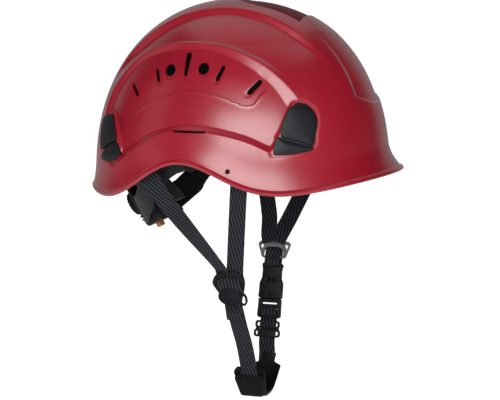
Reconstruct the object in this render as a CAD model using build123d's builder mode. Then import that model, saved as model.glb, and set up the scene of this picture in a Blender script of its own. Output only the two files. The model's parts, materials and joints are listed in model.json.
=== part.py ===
from build123d import *
from math import acos, cos, exp, pi, radians, sin, sqrt
import os

# Climbing helmet: moulded shell, textile cradle, headband, nape ratchet and chin harness.
# Millimetres. +Z is up, the front faces -Y and the wearer's right is -X.
# The origin is the centre of the shell's widest level section.

# ---- driving dimensions -------------------------------------------------------------
HALF_WIDTH = 110.8          # outer half width of the shell at z = 0
FRONT_REACH = 131.0         # outer reach ahead of the ears at z = 0
REAR_REACH = 127.8          # outer reach behind the ears at z = 0
DOME_HEIGHT = 153.3         # top of the dome
WALL = 2.5                  # shell wall
SIDE_POWER = 2.20           # how late the sides turn in towards the top
FRONT_POWER = 2.41
REAR_POWER = 2.26
ROUND_POWER = 2.09
LIP = 3.0                   # how far the whole rim turns out
BRIM = 9.3                  # how much further the front rim turns out
FLARE_HEIGHT = 25.0         # height above the rim over which it turns out
FLARE_POWER = 2.4           # how sharply it turns out
LEVELS = (-16, 0, 10, 20, 32, 48, 70, 92, 112, 130, 142, 149, 152.4)

CLIP_GAP = 0.15             # lamp clip clear of the shell
CLIP_THICK = 4.5
MESH_DEPTH = 7.4            # vent mesh below the outside of the dome
MESH_THICK = 0.8
CLEAR = 0.3                 # general clearance between neighbours
RUN = 0.05                  # radial clearance of a running fit

WEB_WIDTH = 15.0            # webbing
WEB_THICK = 1.6

BAND_X = 78.0               # headband outer half width
BAND_Y = 97.0               # headband outer half length
BAND_Z = 20.0               # headband lower edge
BAND_HEIGHT = 26.0
BAND_THICK = 1.6

NAPE_TILT = 30.0            # degrees that the nape ring slopes down to the rear
NAPE_CENTRE = Vector(0, 17, 18)
RACK_THICK = 1.6
INNER_RACK = 79.2           # inner radius of the left rack strap
OUTER_RACK = 81.8           # inner radius of the right rack strap
RACK_HALF = 13.0            # half height of a rack strap
MODULE = 1.0
PINION_TEETH = 12
PINION_R = MODULE * PINION_TEETH / 2
PITCH = pi * MODULE
BACKLASH = 0.4

BUCKLE_TILT = 17.2          # degrees from vertical of the buckle line
RING_CENTRE = Vector(58, -15, -76)
DIVIDER_CENTRE = Vector(-58, -9, -91)
CUP_Y = -17.0

os.makedirs("parts", exist_ok=True)


def finish(builder, name):
    """Label a finished piece and write it."""
    builder.part.label = name
    export_step(builder.part, f"parts/{name}.step")


# ---- the dome -----------------------------------------------------------------------
def rim_height(phi):
    """Height of the rim; phi is 0 at the front and pi at the rear."""
    ear_arch = 38.2 * exp(-((phi - radians(98.7)) / radians(23.3)) ** 2)
    return -6.9 + 9.5 * cos(phi) + 8.4 * cos(2 * phi) - 1.1 * cos(3 * phi) + ear_arch


def dome_point(phi, z, grow=0.0):
    """A point of the dome at angle phi and height z, with the dome grown outward."""
    t = max(z, 0) / (DOME_HEIGHT + grow)
    half = (HALF_WIDTH + grow) * (1 - t ** SIDE_POWER) ** (1 / ROUND_POWER)
    front = (FRONT_REACH + grow) * (1 - t ** FRONT_POWER) ** (1 / ROUND_POWER)
    rear = (REAR_REACH + grow) * (1 - t ** REAR_POWER) ** (1 / ROUND_POWER)
    along = front if cos(phi) > 0 else rear
    above = z - rim_height(min(phi, 2 * pi - phi))
    fade = (1 - min(max(above / FLARE_HEIGHT, 0), 1)) ** FLARE_POWER
    flare = (LIP + BRIM * max(cos(phi), 0) ** 3) * fade
    return Vector(-(half + flare) * sin(phi), -(along + flare) * cos(phi), z)


def add_dome(grow, mode=Mode.ADD):
    """Loft the dome through its level sections into the part being built."""
    sections = []
    for level in LEVELS:
        z = level * (DOME_HEIGHT + grow) / DOME_HEIGHT
        with BuildSketch(Plane.XY.offset(z)) as section:
            with BuildLine():
                ring = [dome_point(radians(a), z, grow) for a in range(0, 360, 15)]
                Spline([(p.X, p.Y) for p in ring], periodic=True)
            make_face()
        sections.append(section.sketch.face())
    loft(sections, mode=mode)


def side_prism(outline, side, mode):
    """Push a side-view sketch out through one side (-1 right, +1 left)."""
    extrude(outline.sketch, amount=side * 170, mode=mode)


# Vent slots as (y, z) of the lower and upper ends with their widths, and the round vents.
VENT_SLOTS = (
    ((65.6, 73.9), (71.4, 80.6), 3.0),
    ((45.0, 86.0), (48.0, 94.0), 3.0),
    ((20.0, 92.0), (20.0, 106.0), 4.0),
    ((-7.9, 88.0), (-11.7, 97.5), 3.0),
    ((-35.2, 78.0), (-41.9, 85.9), 4.0),
)
ROUND_VENTS = ((34.9, 94.6), (4.9, 96.2))
ROUND_VENT_R = 4.2
ACCESSORY_HOLE_R = 2.0
ACCESSORY_HOLE = (-23.0, 15.9)
MUFF_SLOT = (10.8, 46.4, 28.0, 3.4)   # centre y, centre z, length, height


def cut_openings(side):
    """Cut the vents, the accessory hole and the accessory slot of one side."""
    with BuildSketch(Plane.YZ) as openings:
        for low, high, width in VENT_SLOTS:
            span = Vector(*high) - Vector(*low)
            mid = (Vector(*high) + Vector(*low)) / 2
            with Locations(mid):
                SlotCenterToCenter(span.length, width, rotation=Vector(1, 0).get_signed_angle(span))
        with Locations(*ROUND_VENTS):
            Circle(ROUND_VENT_R)
        with Locations(ACCESSORY_HOLE):
            Circle(ACCESSORY_HOLE_R)
        with Locations(MUFF_SLOT[:2]):
            Rectangle(*MUFF_SLOT[2:])
    side_prism(openings, side, Mode.SUBTRACT)


with BuildPart() as shell:
    add_dome(0)
    add_dome(-WALL, Mode.SUBTRACT)
    with BuildSketch(Plane.YZ):
        with BuildLine():
            angles = [radians(a) for a in range(0, 181, 10)]
            rim = [(dome_point(a, rim_height(a)).Y, rim_height(a)) for a in angles]
            curve = Spline(rim)
            Polyline(curve @ 1, (200, rim[-1][1]), (200, -80), (-200, -80), (-200, rim[0][1]), curve @ 0)
        make_face()
    extrude(amount=200, both=True, mode=Mode.SUBTRACT)
    cut_openings(-1)
    cut_openings(1)
finish(shell, "shell")

# Layers that follow the dome: one outside for the lamp clips, one inside for the vent mesh.
with BuildPart() as outer_layer:
    add_dome(CLIP_THICK)
    add_dome(CLIP_GAP, Mode.SUBTRACT)
with BuildPart() as inner_layer:
    add_dome(-MESH_DEPTH)
    add_dome(-MESH_DEPTH - MESH_THICK, Mode.SUBTRACT)

FRONT_CLIP = ((-72, 71), (-85, 62), (-87, 34), (-57, 28), (-61, 45))
REAR_CLIP = ((95, 57), (83, 35.5), (78, 24), (88, 17), (103, 26))
VENT_FIELD = ((-50, 76), (76, 68), (76, 90), (20, 114), (-48, 92))


def layer_patch(layer, outline, side):
    """A patch of a dome layer bounded by a side-view outline, on one side."""
    with BuildPart() as patch:
        add(layer.part)
        with BuildSketch(Plane.YZ) as area:
            with BuildLine():
                Polyline(*outline, close=True)
            make_face()
            fillet(vertices(), 2.5)
        side_prism(area, side, Mode.INTERSECT)
    return patch


for side, word in ((-1, "right"), (1, "left")):
    finish(layer_patch(outer_layer, FRONT_CLIP, side), f"lamp_clip_front_{word}")
    finish(layer_patch(outer_layer, REAR_CLIP, side), f"lamp_clip_rear_{word}")
    finish(layer_patch(inner_layer, VENT_FIELD, side), f"vent_mesh_{word}")

# ---- headband and cradle ------------------------------------------------------------
with BuildPart() as headband:
    with BuildSketch(Plane.XY.offset(BAND_Z)):
        Ellipse(BAND_X, BAND_Y)
        Ellipse(BAND_X - BAND_THICK, BAND_Y - BAND_THICK, mode=Mode.SUBTRACT)
    extrude(amount=BAND_HEIGHT)
finish(headband, "headband")

SWEAT_THICK = 4.0
with BuildPart() as sweatband:
    with BuildSketch(Plane.XY.offset(BAND_Z + 2)):
        Ellipse(BAND_X - BAND_THICK - CLEAR, BAND_Y - BAND_THICK - CLEAR)
        inset = BAND_THICK + CLEAR + SWEAT_THICK
        Ellipse(BAND_X - inset, BAND_Y - inset, mode=Mode.SUBTRACT)
        with Locations((0, 95)):
            Rectangle(200, 230, mode=Mode.SUBTRACT)
    extrude(amount=BAND_HEIGHT - 4)
finish(sweatband, "sweatband")

CRADLE_X = 84.0             # reach of the cradle straps at their feet
CRADLE_Y = 108.0
CRADLE_FOOT = 24.0
CRADLE_TOP = 118.0
CRADLE_STEP = 2.0           # one strap lies over the next at the crown
CRADLE_THICK = 1.2
CRADLE = (("front", 40.0), ("middle", 90.0), ("rear", 140.0))


def cradle_reach(angle):
    """Reach of a cradle strap's foot in the direction angle from +X."""
    return 1 / sqrt((cos(angle) / CRADLE_X) ** 2 + (sin(angle) / CRADLE_Y) ** 2)


for number, (word, degrees_from_x) in enumerate(CRADLE):
    angle = radians(degrees_from_x)
    reach = cradle_reach(angle)
    rise = CRADLE_TOP + number * CRADLE_STEP - CRADLE_FOOT
    across = Plane((0, 0, CRADLE_FOOT), x_dir=(cos(angle), sin(angle), 0), z_dir=(sin(angle), -cos(angle), 0))
    with BuildPart() as cradle_strap:
        with BuildSketch(across):
            Ellipse(reach, rise)
            Ellipse(reach - CRADLE_THICK, rise - CRADLE_THICK, mode=Mode.SUBTRACT)
            with Locations((0, -rise)):
                Rectangle(3 * reach, 2 * rise, mode=Mode.SUBTRACT)
        extrude(amount=WEB_WIDTH / 2, both=True)
    finish(cradle_strap, f"cradle_strap_{word}")

PAD_R = 34.0
with BuildPart() as crown_pad:
    with BuildSketch(Plane.XY.offset(CRADLE_TOP - 13)):
        Circle(PAD_R)
    extrude(amount=5)
    fillet(edges().filter_by(GeomType.CIRCLE), 2)
finish(crown_pad, "crown_pad")

ANCHOR_WIDTH = 18.0
with BuildPart() as cradle_anchors:
    for word, degrees_from_x in CRADLE:
        for turn in (0, 180):
            angle = radians(degrees_from_x + turn)
            reach = cradle_reach(angle) + 5.2
            foot = Plane((reach * cos(angle), reach * sin(angle), CRADLE_FOOT - 1),
                         x_dir=(cos(angle), sin(angle), 0), z_dir=(0, 0, 1))
            with BuildSketch(foot):
                RectangleRounded(8, ANCHOR_WIDTH, 2)
            extrude(amount=16)
finish(cradle_anchors, "cradle_anchors")

# ---- nape ratchet -------------------------------------------------------------------
# The nape ring is a circle in a plane that slopes down to the rear. psi is 0 at the rear
# and grows towards the wearer's left; height is measured along the ring's own axis.
TILT = radians(NAPE_TILT)
RING_AXIS = Vector(0, sin(TILT), cos(TILT))
REARWARD = Vector(0, cos(TILT), -sin(TILT))
LEFTWARD = Vector(1, 0, 0)
RING = Plane(NAPE_CENTRE, x_dir=LEFTWARD, z_dir=RING_AXIS)


def radial_plane(psi, radius):
    """Plane square to the ring's radius at psi; its x runs round the ring, its y is down."""
    c, s = cos(radians(psi)), sin(radians(psi))
    out = REARWARD * c + LEFTWARD * s
    round_ring = LEFTWARD * c - REARWARD * s
    return Plane(NAPE_CENTRE + out * radius, x_dir=round_ring, z_dir=out)


def ring_sector(r_in, r_out, psi_from, psi_to, low, high, mode=Mode.ADD):
    """A piece of the nape ring between two radii, two angles and two heights."""
    with BuildSketch(RING.offset(low)) as sector:
        with BuildLine():
            start = 90 - psi_to
            span = psi_to - psi_from
            outer = CenterArc((0, 0), r_out, start, span)
            inner = CenterArc((0, 0), r_in, start, span)
            Line(outer @ 0, inner @ 0)
            Line(outer @ 1, inner @ 1)
        make_face()
    extrude(sector.sketch, amount=high - low, mode=mode)


ADDENDUM = 0.8 * MODULE
DEDENDUM = 1.1 * MODULE
FLANK = 0.36                # tangent of the flank angle
TOOTH_HALF = PITCH / 4 - BACKLASH / 2


def tooth_outline(tip, root, pitch_line):
    """Trapezium of a tooth that points from root to tip, about the line x = 0."""
    tip_half = TOOTH_HALF - FLANK * abs(tip - pitch_line)
    root_half = TOOTH_HALF + FLANK * abs(root - pitch_line)
    return ((-root_half, root), (-tip_half, tip), (tip_half, tip), (root_half, root))


HOUSING_PSI = 24.0
SLOT_PSI = (-17.0, 21.0)    # rack window, from its far end to its near end
RACK_PSI = (-22.0, 78.0)    # rack strap, from its free end to its ear end


def rack_strap(name, r_in, side):
    """A toothed strap; side is +1 for the left strap and -1 for the right one."""
    mean = r_in + RACK_THICK / 2
    spans = [tuple(sorted((side * a, side * b))) for a, b in (RACK_PSI, SLOT_PSI)]
    teeth_up = -side        # local y is down, so the left strap has its teeth on top
    root = teeth_up * (PINION_R + DEDENDUM + 0.05)
    plain = -teeth_up * (PINION_R + ADDENDUM + 0.8)
    with BuildPart() as strap:
        ring_sector(r_in, r_in + RACK_THICK, *spans[0], -RACK_HALF, RACK_HALF)
        low, high = sorted((-root, -plain))
        ring_sector(r_in - 1, r_in + RACK_THICK + 1, *spans[1], low, high, Mode.SUBTRACT)
        step = PITCH / mean * 180 / pi
        for number in range(-20, 20):
            psi = (number + 0.5) * step
            if spans[1][0] < psi - step / 3 and psi + step / 3 < spans[1][1]:
                with BuildSketch(radial_plane(psi, r_in + 0.05)):
                    tip = teeth_up * (PINION_R - ADDENDUM)
                    with BuildLine():
                        Polyline(*tooth_outline(tip, root + teeth_up * 0.5, teeth_up * PINION_R), close=True)
                    make_face()
                extrude(amount=RACK_THICK - 0.1)
    finish(strap, name)


rack_strap("nape_strap_left", INNER_RACK, 1)
rack_strap("nape_strap_right", OUTER_RACK, -1)

BASE_IN = 74.0
BASE_OUT = INNER_RACK - CLEAR
COVER_IN = OUTER_RACK + RACK_THICK + CLEAR
COVER_OUT = COVER_IN + 4.0
HOUSING_LOW = -25.0
HOUSING_HIGH = 18.0
SHAFT_R = 2.0
NECK_R = 3.0
SCREW_SPOTS = ((-20, 15.7), (20, 15.7), (-20, -16.5), (20, -16.5))
SCREW_R = 1.25
TAB_HALF = 5.0
TAB_IN = 80.0
TAB_OUT = 84.0


def radial_hole(psi, height, radius, r_from, r_to, mode=Mode.SUBTRACT):
    """A round hole or pin along the ring's radius."""
    with BuildSketch(radial_plane(psi, r_from)) as disc:
        with Locations((0, -height)):
            Circle(radius)
    extrude(disc.sketch, amount=r_to - r_from, mode=mode)


with BuildPart() as nape_housing:
    ring_sector(BASE_IN, BASE_OUT, -HOUSING_PSI, HOUSING_PSI, HOUSING_LOW, HOUSING_HIGH)
    for low, high in ((HOUSING_LOW, -RACK_HALF - CLEAR), (RACK_HALF + CLEAR, HOUSING_HIGH)):
        ring_sector(BASE_OUT - 0.5, COVER_IN - 0.05, -HOUSING_PSI, HOUSING_PSI, low, high)
    radial_hole(0, 0, SHAFT_R, BASE_IN + 1.5, BASE_OUT + 1)
    for psi, height in SCREW_SPOTS:
        radial_hole(psi, height, SCREW_R + 0.1, BASE_IN + 2, COVER_IN + 1)
    with BuildSketch(radial_plane(0, TAB_IN - CLEAR)):
        with Locations((0, 23)):
            Rectangle(2 * TAB_HALF + 2 * CLEAR, 9)
    extrude(amount=TAB_OUT - TAB_IN + 2 * CLEAR, mode=Mode.SUBTRACT)
finish(nape_housing, "nape_housing")

SPRING_LENGTH = 12.0
with BuildPart() as nape_cover:
    ring_sector(COVER_IN, COVER_OUT, -HOUSING_PSI, HOUSING_PSI, HOUSING_LOW, HOUSING_HIGH)
    radial_hole(0, 0, NECK_R, COVER_IN - 1, COVER_OUT + 1)
    for psi, height in SCREW_SPOTS:
        radial_hole(psi, height, SCREW_R + 0.1, COVER_IN - 1, COVER_OUT + 1)
    with BuildSketch(radial_plane(0, COVER_OUT - 2)):
        with Locations((0, -7)):
            Rectangle(SPRING_LENGTH + 1, 2.4)
    extrude(amount=4, mode=Mode.SUBTRACT)
    with BuildSketch(radial_plane(0, TAB_IN - CLEAR)):
        with Locations((0, 23)):
            Rectangle(2 * TAB_HALF + 2 * CLEAR, 9)
    extrude(amount=TAB_OUT - TAB_IN + 2 * CLEAR, mode=Mode.SUBTRACT)
finish(nape_cover, "nape_cover")

with BuildPart() as detent_spring:
    with BuildSketch(radial_plane(0, COVER_OUT - 1.9)):
        with Locations((0, -7)):
            Rectangle(SPRING_LENGTH, 1.4)
    extrude(amount=1.6)
finish(detent_spring, "detent_spring")

with BuildPart() as housing_screws:
    for psi, height in SCREW_SPOTS:
        radial_hole(psi, height, SCREW_R, BASE_IN + 2.5, COVER_OUT + 0.1, Mode.ADD)
        radial_hole(psi, height, 2 * SCREW_R, COVER_OUT + 0.05, COVER_OUT + 1.2, Mode.ADD)
finish(housing_screws, "housing_screws")

KNOB_R = 11.0
KNOB_IN = 89.6              # radius of the knob's inner face
KNOB_OUT = 97.0
GRIP_COUNT = 12
with BuildPart() as ratchet_knob:
    with BuildSketch(radial_plane(0, KNOB_IN)):
        Circle(KNOB_R)
        with PolarLocations(KNOB_R + 0.6, GRIP_COUNT):
            Circle(1.6, mode=Mode.SUBTRACT)
    extrude(amount=KNOB_OUT - KNOB_IN)
    radial_hole(0, 0, NECK_R - RUN, COVER_IN + 0.1, KNOB_IN + 0.5, Mode.ADD)
    radial_hole(0, 0, SHAFT_R - RUN, BASE_IN + 2, COVER_IN + 0.5, Mode.ADD)
finish(ratchet_knob, "ratchet_knob")

with BuildPart() as ratchet_pinion:
    with BuildSketch(radial_plane(0, INNER_RACK - 0.1)):
        Circle(PINION_R - DEDENDUM)
        with PolarLocations(0, PINION_TEETH, start_angle=90):
            with BuildLine(mode=Mode.PRIVATE) as tooth:
                Polyline(*tooth_outline(PINION_R + ADDENDUM, PINION_R - DEDENDUM - 0.4, PINION_R), close=True)
            add(make_face(tooth.line, mode=Mode.PRIVATE).rotate(Axis.Z, -90))
        Circle(SHAFT_R, mode=Mode.SUBTRACT)
    extrude(amount=OUTER_RACK + RACK_THICK - INNER_RACK - 0.3)
finish(ratchet_pinion, "ratchet_pinion")

with BuildPart() as release_tab:
    with BuildSketch(radial_plane(0, TAB_IN)):
        with Locations((0, 25.5)):
            RectangleRounded(2 * TAB_HALF, 7.5, 1)
    extrude(amount=TAB_OUT - TAB_IN)
finish(release_tab, "release_tab")

with BuildPart() as nape_pad:
    ring_sector(BASE_IN - 6, BASE_IN - CLEAR, -34, 34, HOUSING_LOW + 2, HOUSING_HIGH - 2)
finish(nape_pad, "nape_pad")

ARM_HALF = 11.0
with BuildPart() as nape_arm:
    with BuildSketch(Plane.YZ):
        with BuildLine():
            Polyline((99.6, -7), (102, -7), (103, 34), (100.6, 34), close=True)
        make_face()
    extrude(amount=ARM_HALF, both=True)
    with BuildSketch(Plane.XZ.offset(-90)):
        with Locations((0, 20)):
            SlotCenterToCenter(14, 5, rotation=90)
    extrude(amount=-30, mode=Mode.SUBTRACT)
finish(nape_arm, "nape_arm")

EAR_PIN_R = 2.5
GUIDE_IN = 84.0
GUIDE_OUT = 86.0
GUIDE_PSI = (54, 62)
for side, word, rack in ((1, "left", INNER_RACK), (-1, "right", OUTER_RACK)):
    loop = sorted(side * psi for psi in GUIDE_PSI)
    arm = sorted((side * GUIDE_PSI[0], side * 95))
    with BuildPart() as guide:
        ring_sector(GUIDE_IN, GUIDE_OUT, *arm, -6, 6)
        ring_sector(INNER_RACK - 2.2, GUIDE_OUT, *loop, -RACK_HALF - 2.2, RACK_HALF + 2.2)
        ring_sector(rack - CLEAR, rack + RACK_THICK + CLEAR, loop[0] - 1, loop[1] + 1,
                    -RACK_HALF - CLEAR, RACK_HALF + CLEAR, Mode.SUBTRACT)
        radial_hole(side * 90, 0, EAR_PIN_R + RUN, GUIDE_IN - 4, GUIDE_OUT + 2)
    finish(guide, f"nape_guide_{word}")

with BuildPart() as ear_pivots:
    for side in (-1, 1):
        radial_hole(side * 90, 0, EAR_PIN_R, BAND_X + CLEAR, GUIDE_OUT + 0.4, Mode.ADD)
        radial_hole(side * 90, 0, EAR_PIN_R + 1.5, GUIDE_OUT + 0.3, GUIDE_OUT + 1.1, Mode.ADD)
finish(ear_pivots, "ear_pivots")


# ---- side harness -------------------------------------------------------------------
def add_webbing(path, face, width=WEB_WIDTH, thick=WEB_THICK):
    """Flat webbing along a path of points, its flat side turned towards face."""
    for start, end in zip(path, path[1:]):
        run = Vector(*end) - Vector(*start)
        along = run.normalized()
        normal = Vector(*face) - along * Vector(*face).dot(along)
        middle = (Vector(*start) + Vector(*end)) / 2
        with BuildSketch(Plane(middle, x_dir=along, z_dir=normal)) as flat:
            Rectangle(run.length + thick, width)
        extrude(flat.sketch, amount=thick / 2, both=True)


RIGHT_LEGS = (
    ((-100, -23, 22), (-58, -10, -74)),
    ((-91, 48, 24), (-88, 33, -4), (-58, -8, -74)),
)
LEFT_LEGS = (
    ((98, -38, 16), (85, -31, -15), (60, -17, -64)),
    ((91, 48, 24), (84, 4, -8), (58, -13, -64)),
)
with BuildPart() as side_strap_right:
    for leg in RIGHT_LEGS:
        add_webbing(leg, (-1, 0, -0.3))
finish(side_strap_right, "side_strap_right")

with BuildPart() as side_strap_left:
    for leg in LEFT_LEGS:
        add_webbing(leg, (1, 0, -0.3))
finish(side_strap_left, "side_strap_left")

with BuildPart() as strap_anchors:
    for leg in RIGHT_LEGS + LEFT_LEGS:
        top = Vector(*leg[0]) + Vector(0, 0, 7)
        centre = Vector(top.X * 0.975, top.Y, top.Z)
        lean = Vector(top.X / HALF_WIDTH ** 2, top.Y / REAR_REACH ** 2, 0).normalized()
        with BuildSketch(Plane(centre, x_dir=lean, z_dir=(0, 0, 1))):
            RectangleRounded(4, WEB_WIDTH, 1)
        extrude(amount=10)
finish(strap_anchors, "strap_anchors")

# The strap divider of the right side hangs in the plane of the webbing.
DIVIDER = Plane(DIVIDER_CENTRE, x_dir=(0, -1, 0), z_dir=(-1, 0, -0.2))
DIVIDER_THICK = 3.0
DISC_R = 9.5
with BuildPart() as strap_divider:
    with BuildSketch(DIVIDER):
        with BuildLine():
            Polyline((-14, 9), (-10, 13), (10, 13), (14, 9), (13, 0), (7.5, -13), (-7.5, -13), (-13, 0), close=True)
        make_face()
        fillet(vertices(), 2)
        with Locations((0, 6.5)):
            SlotCenterToCenter(12, 5, mode=Mode.SUBTRACT)
    extrude(amount=DIVIDER_THICK / 2, both=True)
    with BuildSketch(DIVIDER.offset(DIVIDER_THICK / 2)):
        with Locations((0, -5)):
            Circle(DISC_R - 0.5)
    extrude(amount=2)
    fillet(faces().filter_by(DIVIDER).sort_by(Axis(DIVIDER.origin, DIVIDER.z_dir))[-1].edges(), 1)
finish(strap_divider, "strap_divider")

with BuildPart() as strap_keeper:
    with BuildSketch(DIVIDER):
        with Locations((13.8, -11.5)):
            RectangleRounded(5, 12, 2)
            RectangleRounded(2.4, 9, 1, mode=Mode.SUBTRACT)
    extrude(amount=1, both=True)
finish(strap_keeper, "strap_keeper")

# ---- buckle line --------------------------------------------------------------------
# The left ring, buckle and adjuster lie on one line. On this plane x is rearward, y is up
# the line and z is outward to the wearer's left; s is the distance down from the ring.
LEAN = radians(BUCKLE_TILT)
BUCKLE = Plane(RING_CENTRE, x_dir=(0, 1, 0), z_dir=(cos(LEAN), 0, -sin(LEAN)))


def down_block(s_from, s_to, half_width, z_low, z_high, mode=Mode.ADD, x=0.0):
    """A block of the buckle line between two distances down from the ring."""
    with BuildSketch(BUCKLE.offset(z_low)) as block:
        with Locations((x, -(s_from + s_to) / 2)):
            Rectangle(2 * half_width, s_to - s_from)
    extrude(block.sketch, amount=z_high - z_low, mode=mode)


with BuildPart() as strap_ring:
    with BuildSketch(BUCKLE):
        with BuildLine():
            Polyline((-15, 8), (15, 8), (13, -2), (8, -7), (-8, -7), (-13, -2), close=True)
        make_face()
        fillet(vertices(), 2)
        offset(amount=-2.6, mode=Mode.SUBTRACT)
    extrude(amount=1.5, both=True)
finish(strap_ring, "strap_ring")

FEMALE_FROM = 12.0
MOUTH = 46.0
MALE_TO = 64.0
FEMALE_HALF = 10.0
CAVITY_HALF = 8.2
with BuildPart() as buckle_loop:
    down_block(7.3, FEMALE_FROM - CLEAR, WEB_WIDTH / 2, -1.6, 1.6)
finish(buckle_loop, "buckle_loop")

with BuildPart() as buckle_female:
    down_block(FEMALE_FROM, MOUTH, FEMALE_HALF, -4.2, 4.2)
    fillet(edges().filter_by(Axis(BUCKLE.origin, BUCKLE.z_dir)), 2)
    down_block(FEMALE_FROM + 6, MOUTH + 1, CAVITY_HALF, -3.0, 3.0, Mode.SUBTRACT)
    down_block(24, 35, FEMALE_HALF + 1, -2.6, 2.6, Mode.SUBTRACT)
    down_block(FEMALE_FROM + 2, FEMALE_FROM + 3.6, 6, -5, 5, Mode.SUBTRACT)
finish(buckle_female, "buckle_female")

MALE_FROM = MOUTH + 0.8
with BuildPart() as buckle_male:
    down_block(MALE_FROM, MALE_TO, FEMALE_HALF, -3.4, 3.4)
    fillet(edges().filter_by(Axis(BUCKLE.origin, BUCKLE.z_dir)), 2)
    down_block(MALE_FROM + 3.5, MALE_FROM + 5.5, 6.5, -5, 5, Mode.SUBTRACT)
    down_block(MALE_FROM + 10, MALE_FROM + 13, 7.8, -5, 5, Mode.SUBTRACT)
    down_block(22, MALE_FROM + 1, 1.2, -1.5, 1.5)
finish(buckle_male, "buckle_male")

PRONG_X = 6.2
for side, word in ((-1, "front"), (1, "rear")):
    with BuildPart() as prong:
        down_block(26, MALE_FROM - 0.2, 1.2, -1.6, 1.6, x=side * PRONG_X)
        down_block(24, 33, 1.8, -1.6, 1.6, x=side * (PRONG_X - 0.2))
    finish(prong, f"buckle_prong_{word}")

GLIDE_FROM = 67.0
GLIDE_TO = 82.0
with BuildPart() as tri_glide:
    for s_from in (GLIDE_FROM, GLIDE_TO - 3):
        down_block(s_from, s_from + 3, 12, 1.1, 3.1)
    down_block(GLIDE_FROM + 6, GLIDE_FROM + 9, 12, -2.9, -1.1)
    for x in (-10.2, 10.2):
        down_block(GLIDE_FROM, GLIDE_TO, 1.8, -2.9, 3.1, x=x)
finish(tri_glide, "tri_glide")


def down_point(s):
    """Point of the buckle line at a distance down from the ring."""
    return RING_CENTRE - BUCKLE.y_dir * s


CUP_TOP = -164.0
CUP_BOTTOM = -199.0
CUP_TOP_HALF = 31.0
CUP_BOTTOM_HALF = 15.0
CUP_DEPTH_TOP = 15.0
CUP_DEPTH_BOTTOM = 10.0
CUP_WALL = 3.0
STRAP_END = CUP_TOP + 3.0
with BuildPart() as chin_strap_left:
    add_webbing([down_point(MALE_TO + 1.2), down_point(88)], BUCKLE.z_dir)
finish(chin_strap_left, "chin_strap_left")

with BuildPart() as chin_strap_right:
    add_webbing([(-54, -11, -107), (-29, CUP_Y + 1, STRAP_END)], (-1, 0, -0.3))
finish(chin_strap_right, "chin_strap_right")



def taper(top_half, bottom_half, top, bottom, centre=0.0):
    """Corner points of a symmetric trapezium that narrows downwards."""
    return ((centre - top_half, top), (centre - bottom_half, bottom),
            (centre + bottom_half, bottom), (centre + top_half, top))


with BuildPart() as chin_cup:
    with BuildSketch(Plane.XZ.offset(-CUP_Y)):
        with BuildLine():
            Polyline(*taper(CUP_TOP_HALF, CUP_BOTTOM_HALF, CUP_TOP, CUP_BOTTOM), close=True)
        make_face()
        fillet(vertices().group_by(Axis.Y)[0], 9)
        with BuildLine():
            Polyline(*taper(CUP_TOP_HALF - CUP_WALL, CUP_BOTTOM_HALF - CUP_WALL + 1,
                            CUP_TOP + 0.01, CUP_BOTTOM + CUP_WALL), close=True)
        make_face(mode=Mode.SUBTRACT)
    extrude(amount=CUP_DEPTH_TOP, both=True)
    with BuildSketch(Plane.YZ):
        with BuildLine():
            Polyline(*taper(CUP_DEPTH_TOP, CUP_DEPTH_BOTTOM, CUP_TOP, CUP_BOTTOM, CUP_Y), close=True)
        make_face()
    extrude(amount=CUP_TOP_HALF + 5, both=True, mode=Mode.INTERSECT)
finish(chin_cup, "chin_cup")
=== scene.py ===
"""Climbing helmet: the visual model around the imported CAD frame. Lengths are in millimetres
in the formulas and become metres in the meshes; the frame is the CAD's (+Z up, front -Y)."""
import json
import bpy
import bmesh
import numpy as np
from math import cos, pi, radians, sin
from mathutils import Matrix, Vector


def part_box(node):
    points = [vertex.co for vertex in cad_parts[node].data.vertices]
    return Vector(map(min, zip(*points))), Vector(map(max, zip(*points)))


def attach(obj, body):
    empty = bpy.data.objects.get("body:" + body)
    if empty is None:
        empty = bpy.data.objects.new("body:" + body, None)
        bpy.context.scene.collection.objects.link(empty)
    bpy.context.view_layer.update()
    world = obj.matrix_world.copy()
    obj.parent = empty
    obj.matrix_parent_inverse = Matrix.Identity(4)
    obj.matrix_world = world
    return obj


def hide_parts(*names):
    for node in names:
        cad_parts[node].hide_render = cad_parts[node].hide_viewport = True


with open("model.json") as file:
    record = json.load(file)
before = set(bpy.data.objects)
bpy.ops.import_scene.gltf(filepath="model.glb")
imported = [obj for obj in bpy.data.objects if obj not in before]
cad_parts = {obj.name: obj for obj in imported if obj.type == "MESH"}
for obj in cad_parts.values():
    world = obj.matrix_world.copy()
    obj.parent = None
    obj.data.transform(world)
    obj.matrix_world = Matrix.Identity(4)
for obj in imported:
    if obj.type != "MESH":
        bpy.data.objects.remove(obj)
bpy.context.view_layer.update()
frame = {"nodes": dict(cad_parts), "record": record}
MM = 0.001

# ---- the dome, in the CAD's own formula ----
HALF_WIDTH, FRONT_REACH, REAR_REACH, DOME_HEIGHT = 110.8, 131, 127.8, 153.3
SIDE_POWER, FRONT_POWER, REAR_POWER, ROUND_POWER = 2.20, 2.41, 2.26, 2.09
LIP, BRIM, FLARE_HEIGHT, FLARE_POWER, WALL = 3, 9.3, 25, 2.4, 2.5


def rim_height(phi):
    """Height of the rim in mm; phi is 0 at the front and pi at the rear."""
    phi = np.abs((phi + pi) % (2 * pi) - pi)
    arch = 38.2 * np.exp(-((phi - radians(98.7)) / radians(23.3)) ** 2)
    return -6.9 + 9.5 * np.cos(phi) + 8.4 * np.cos(2 * phi) - 1.1 * np.cos(3 * phi) + arch


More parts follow.
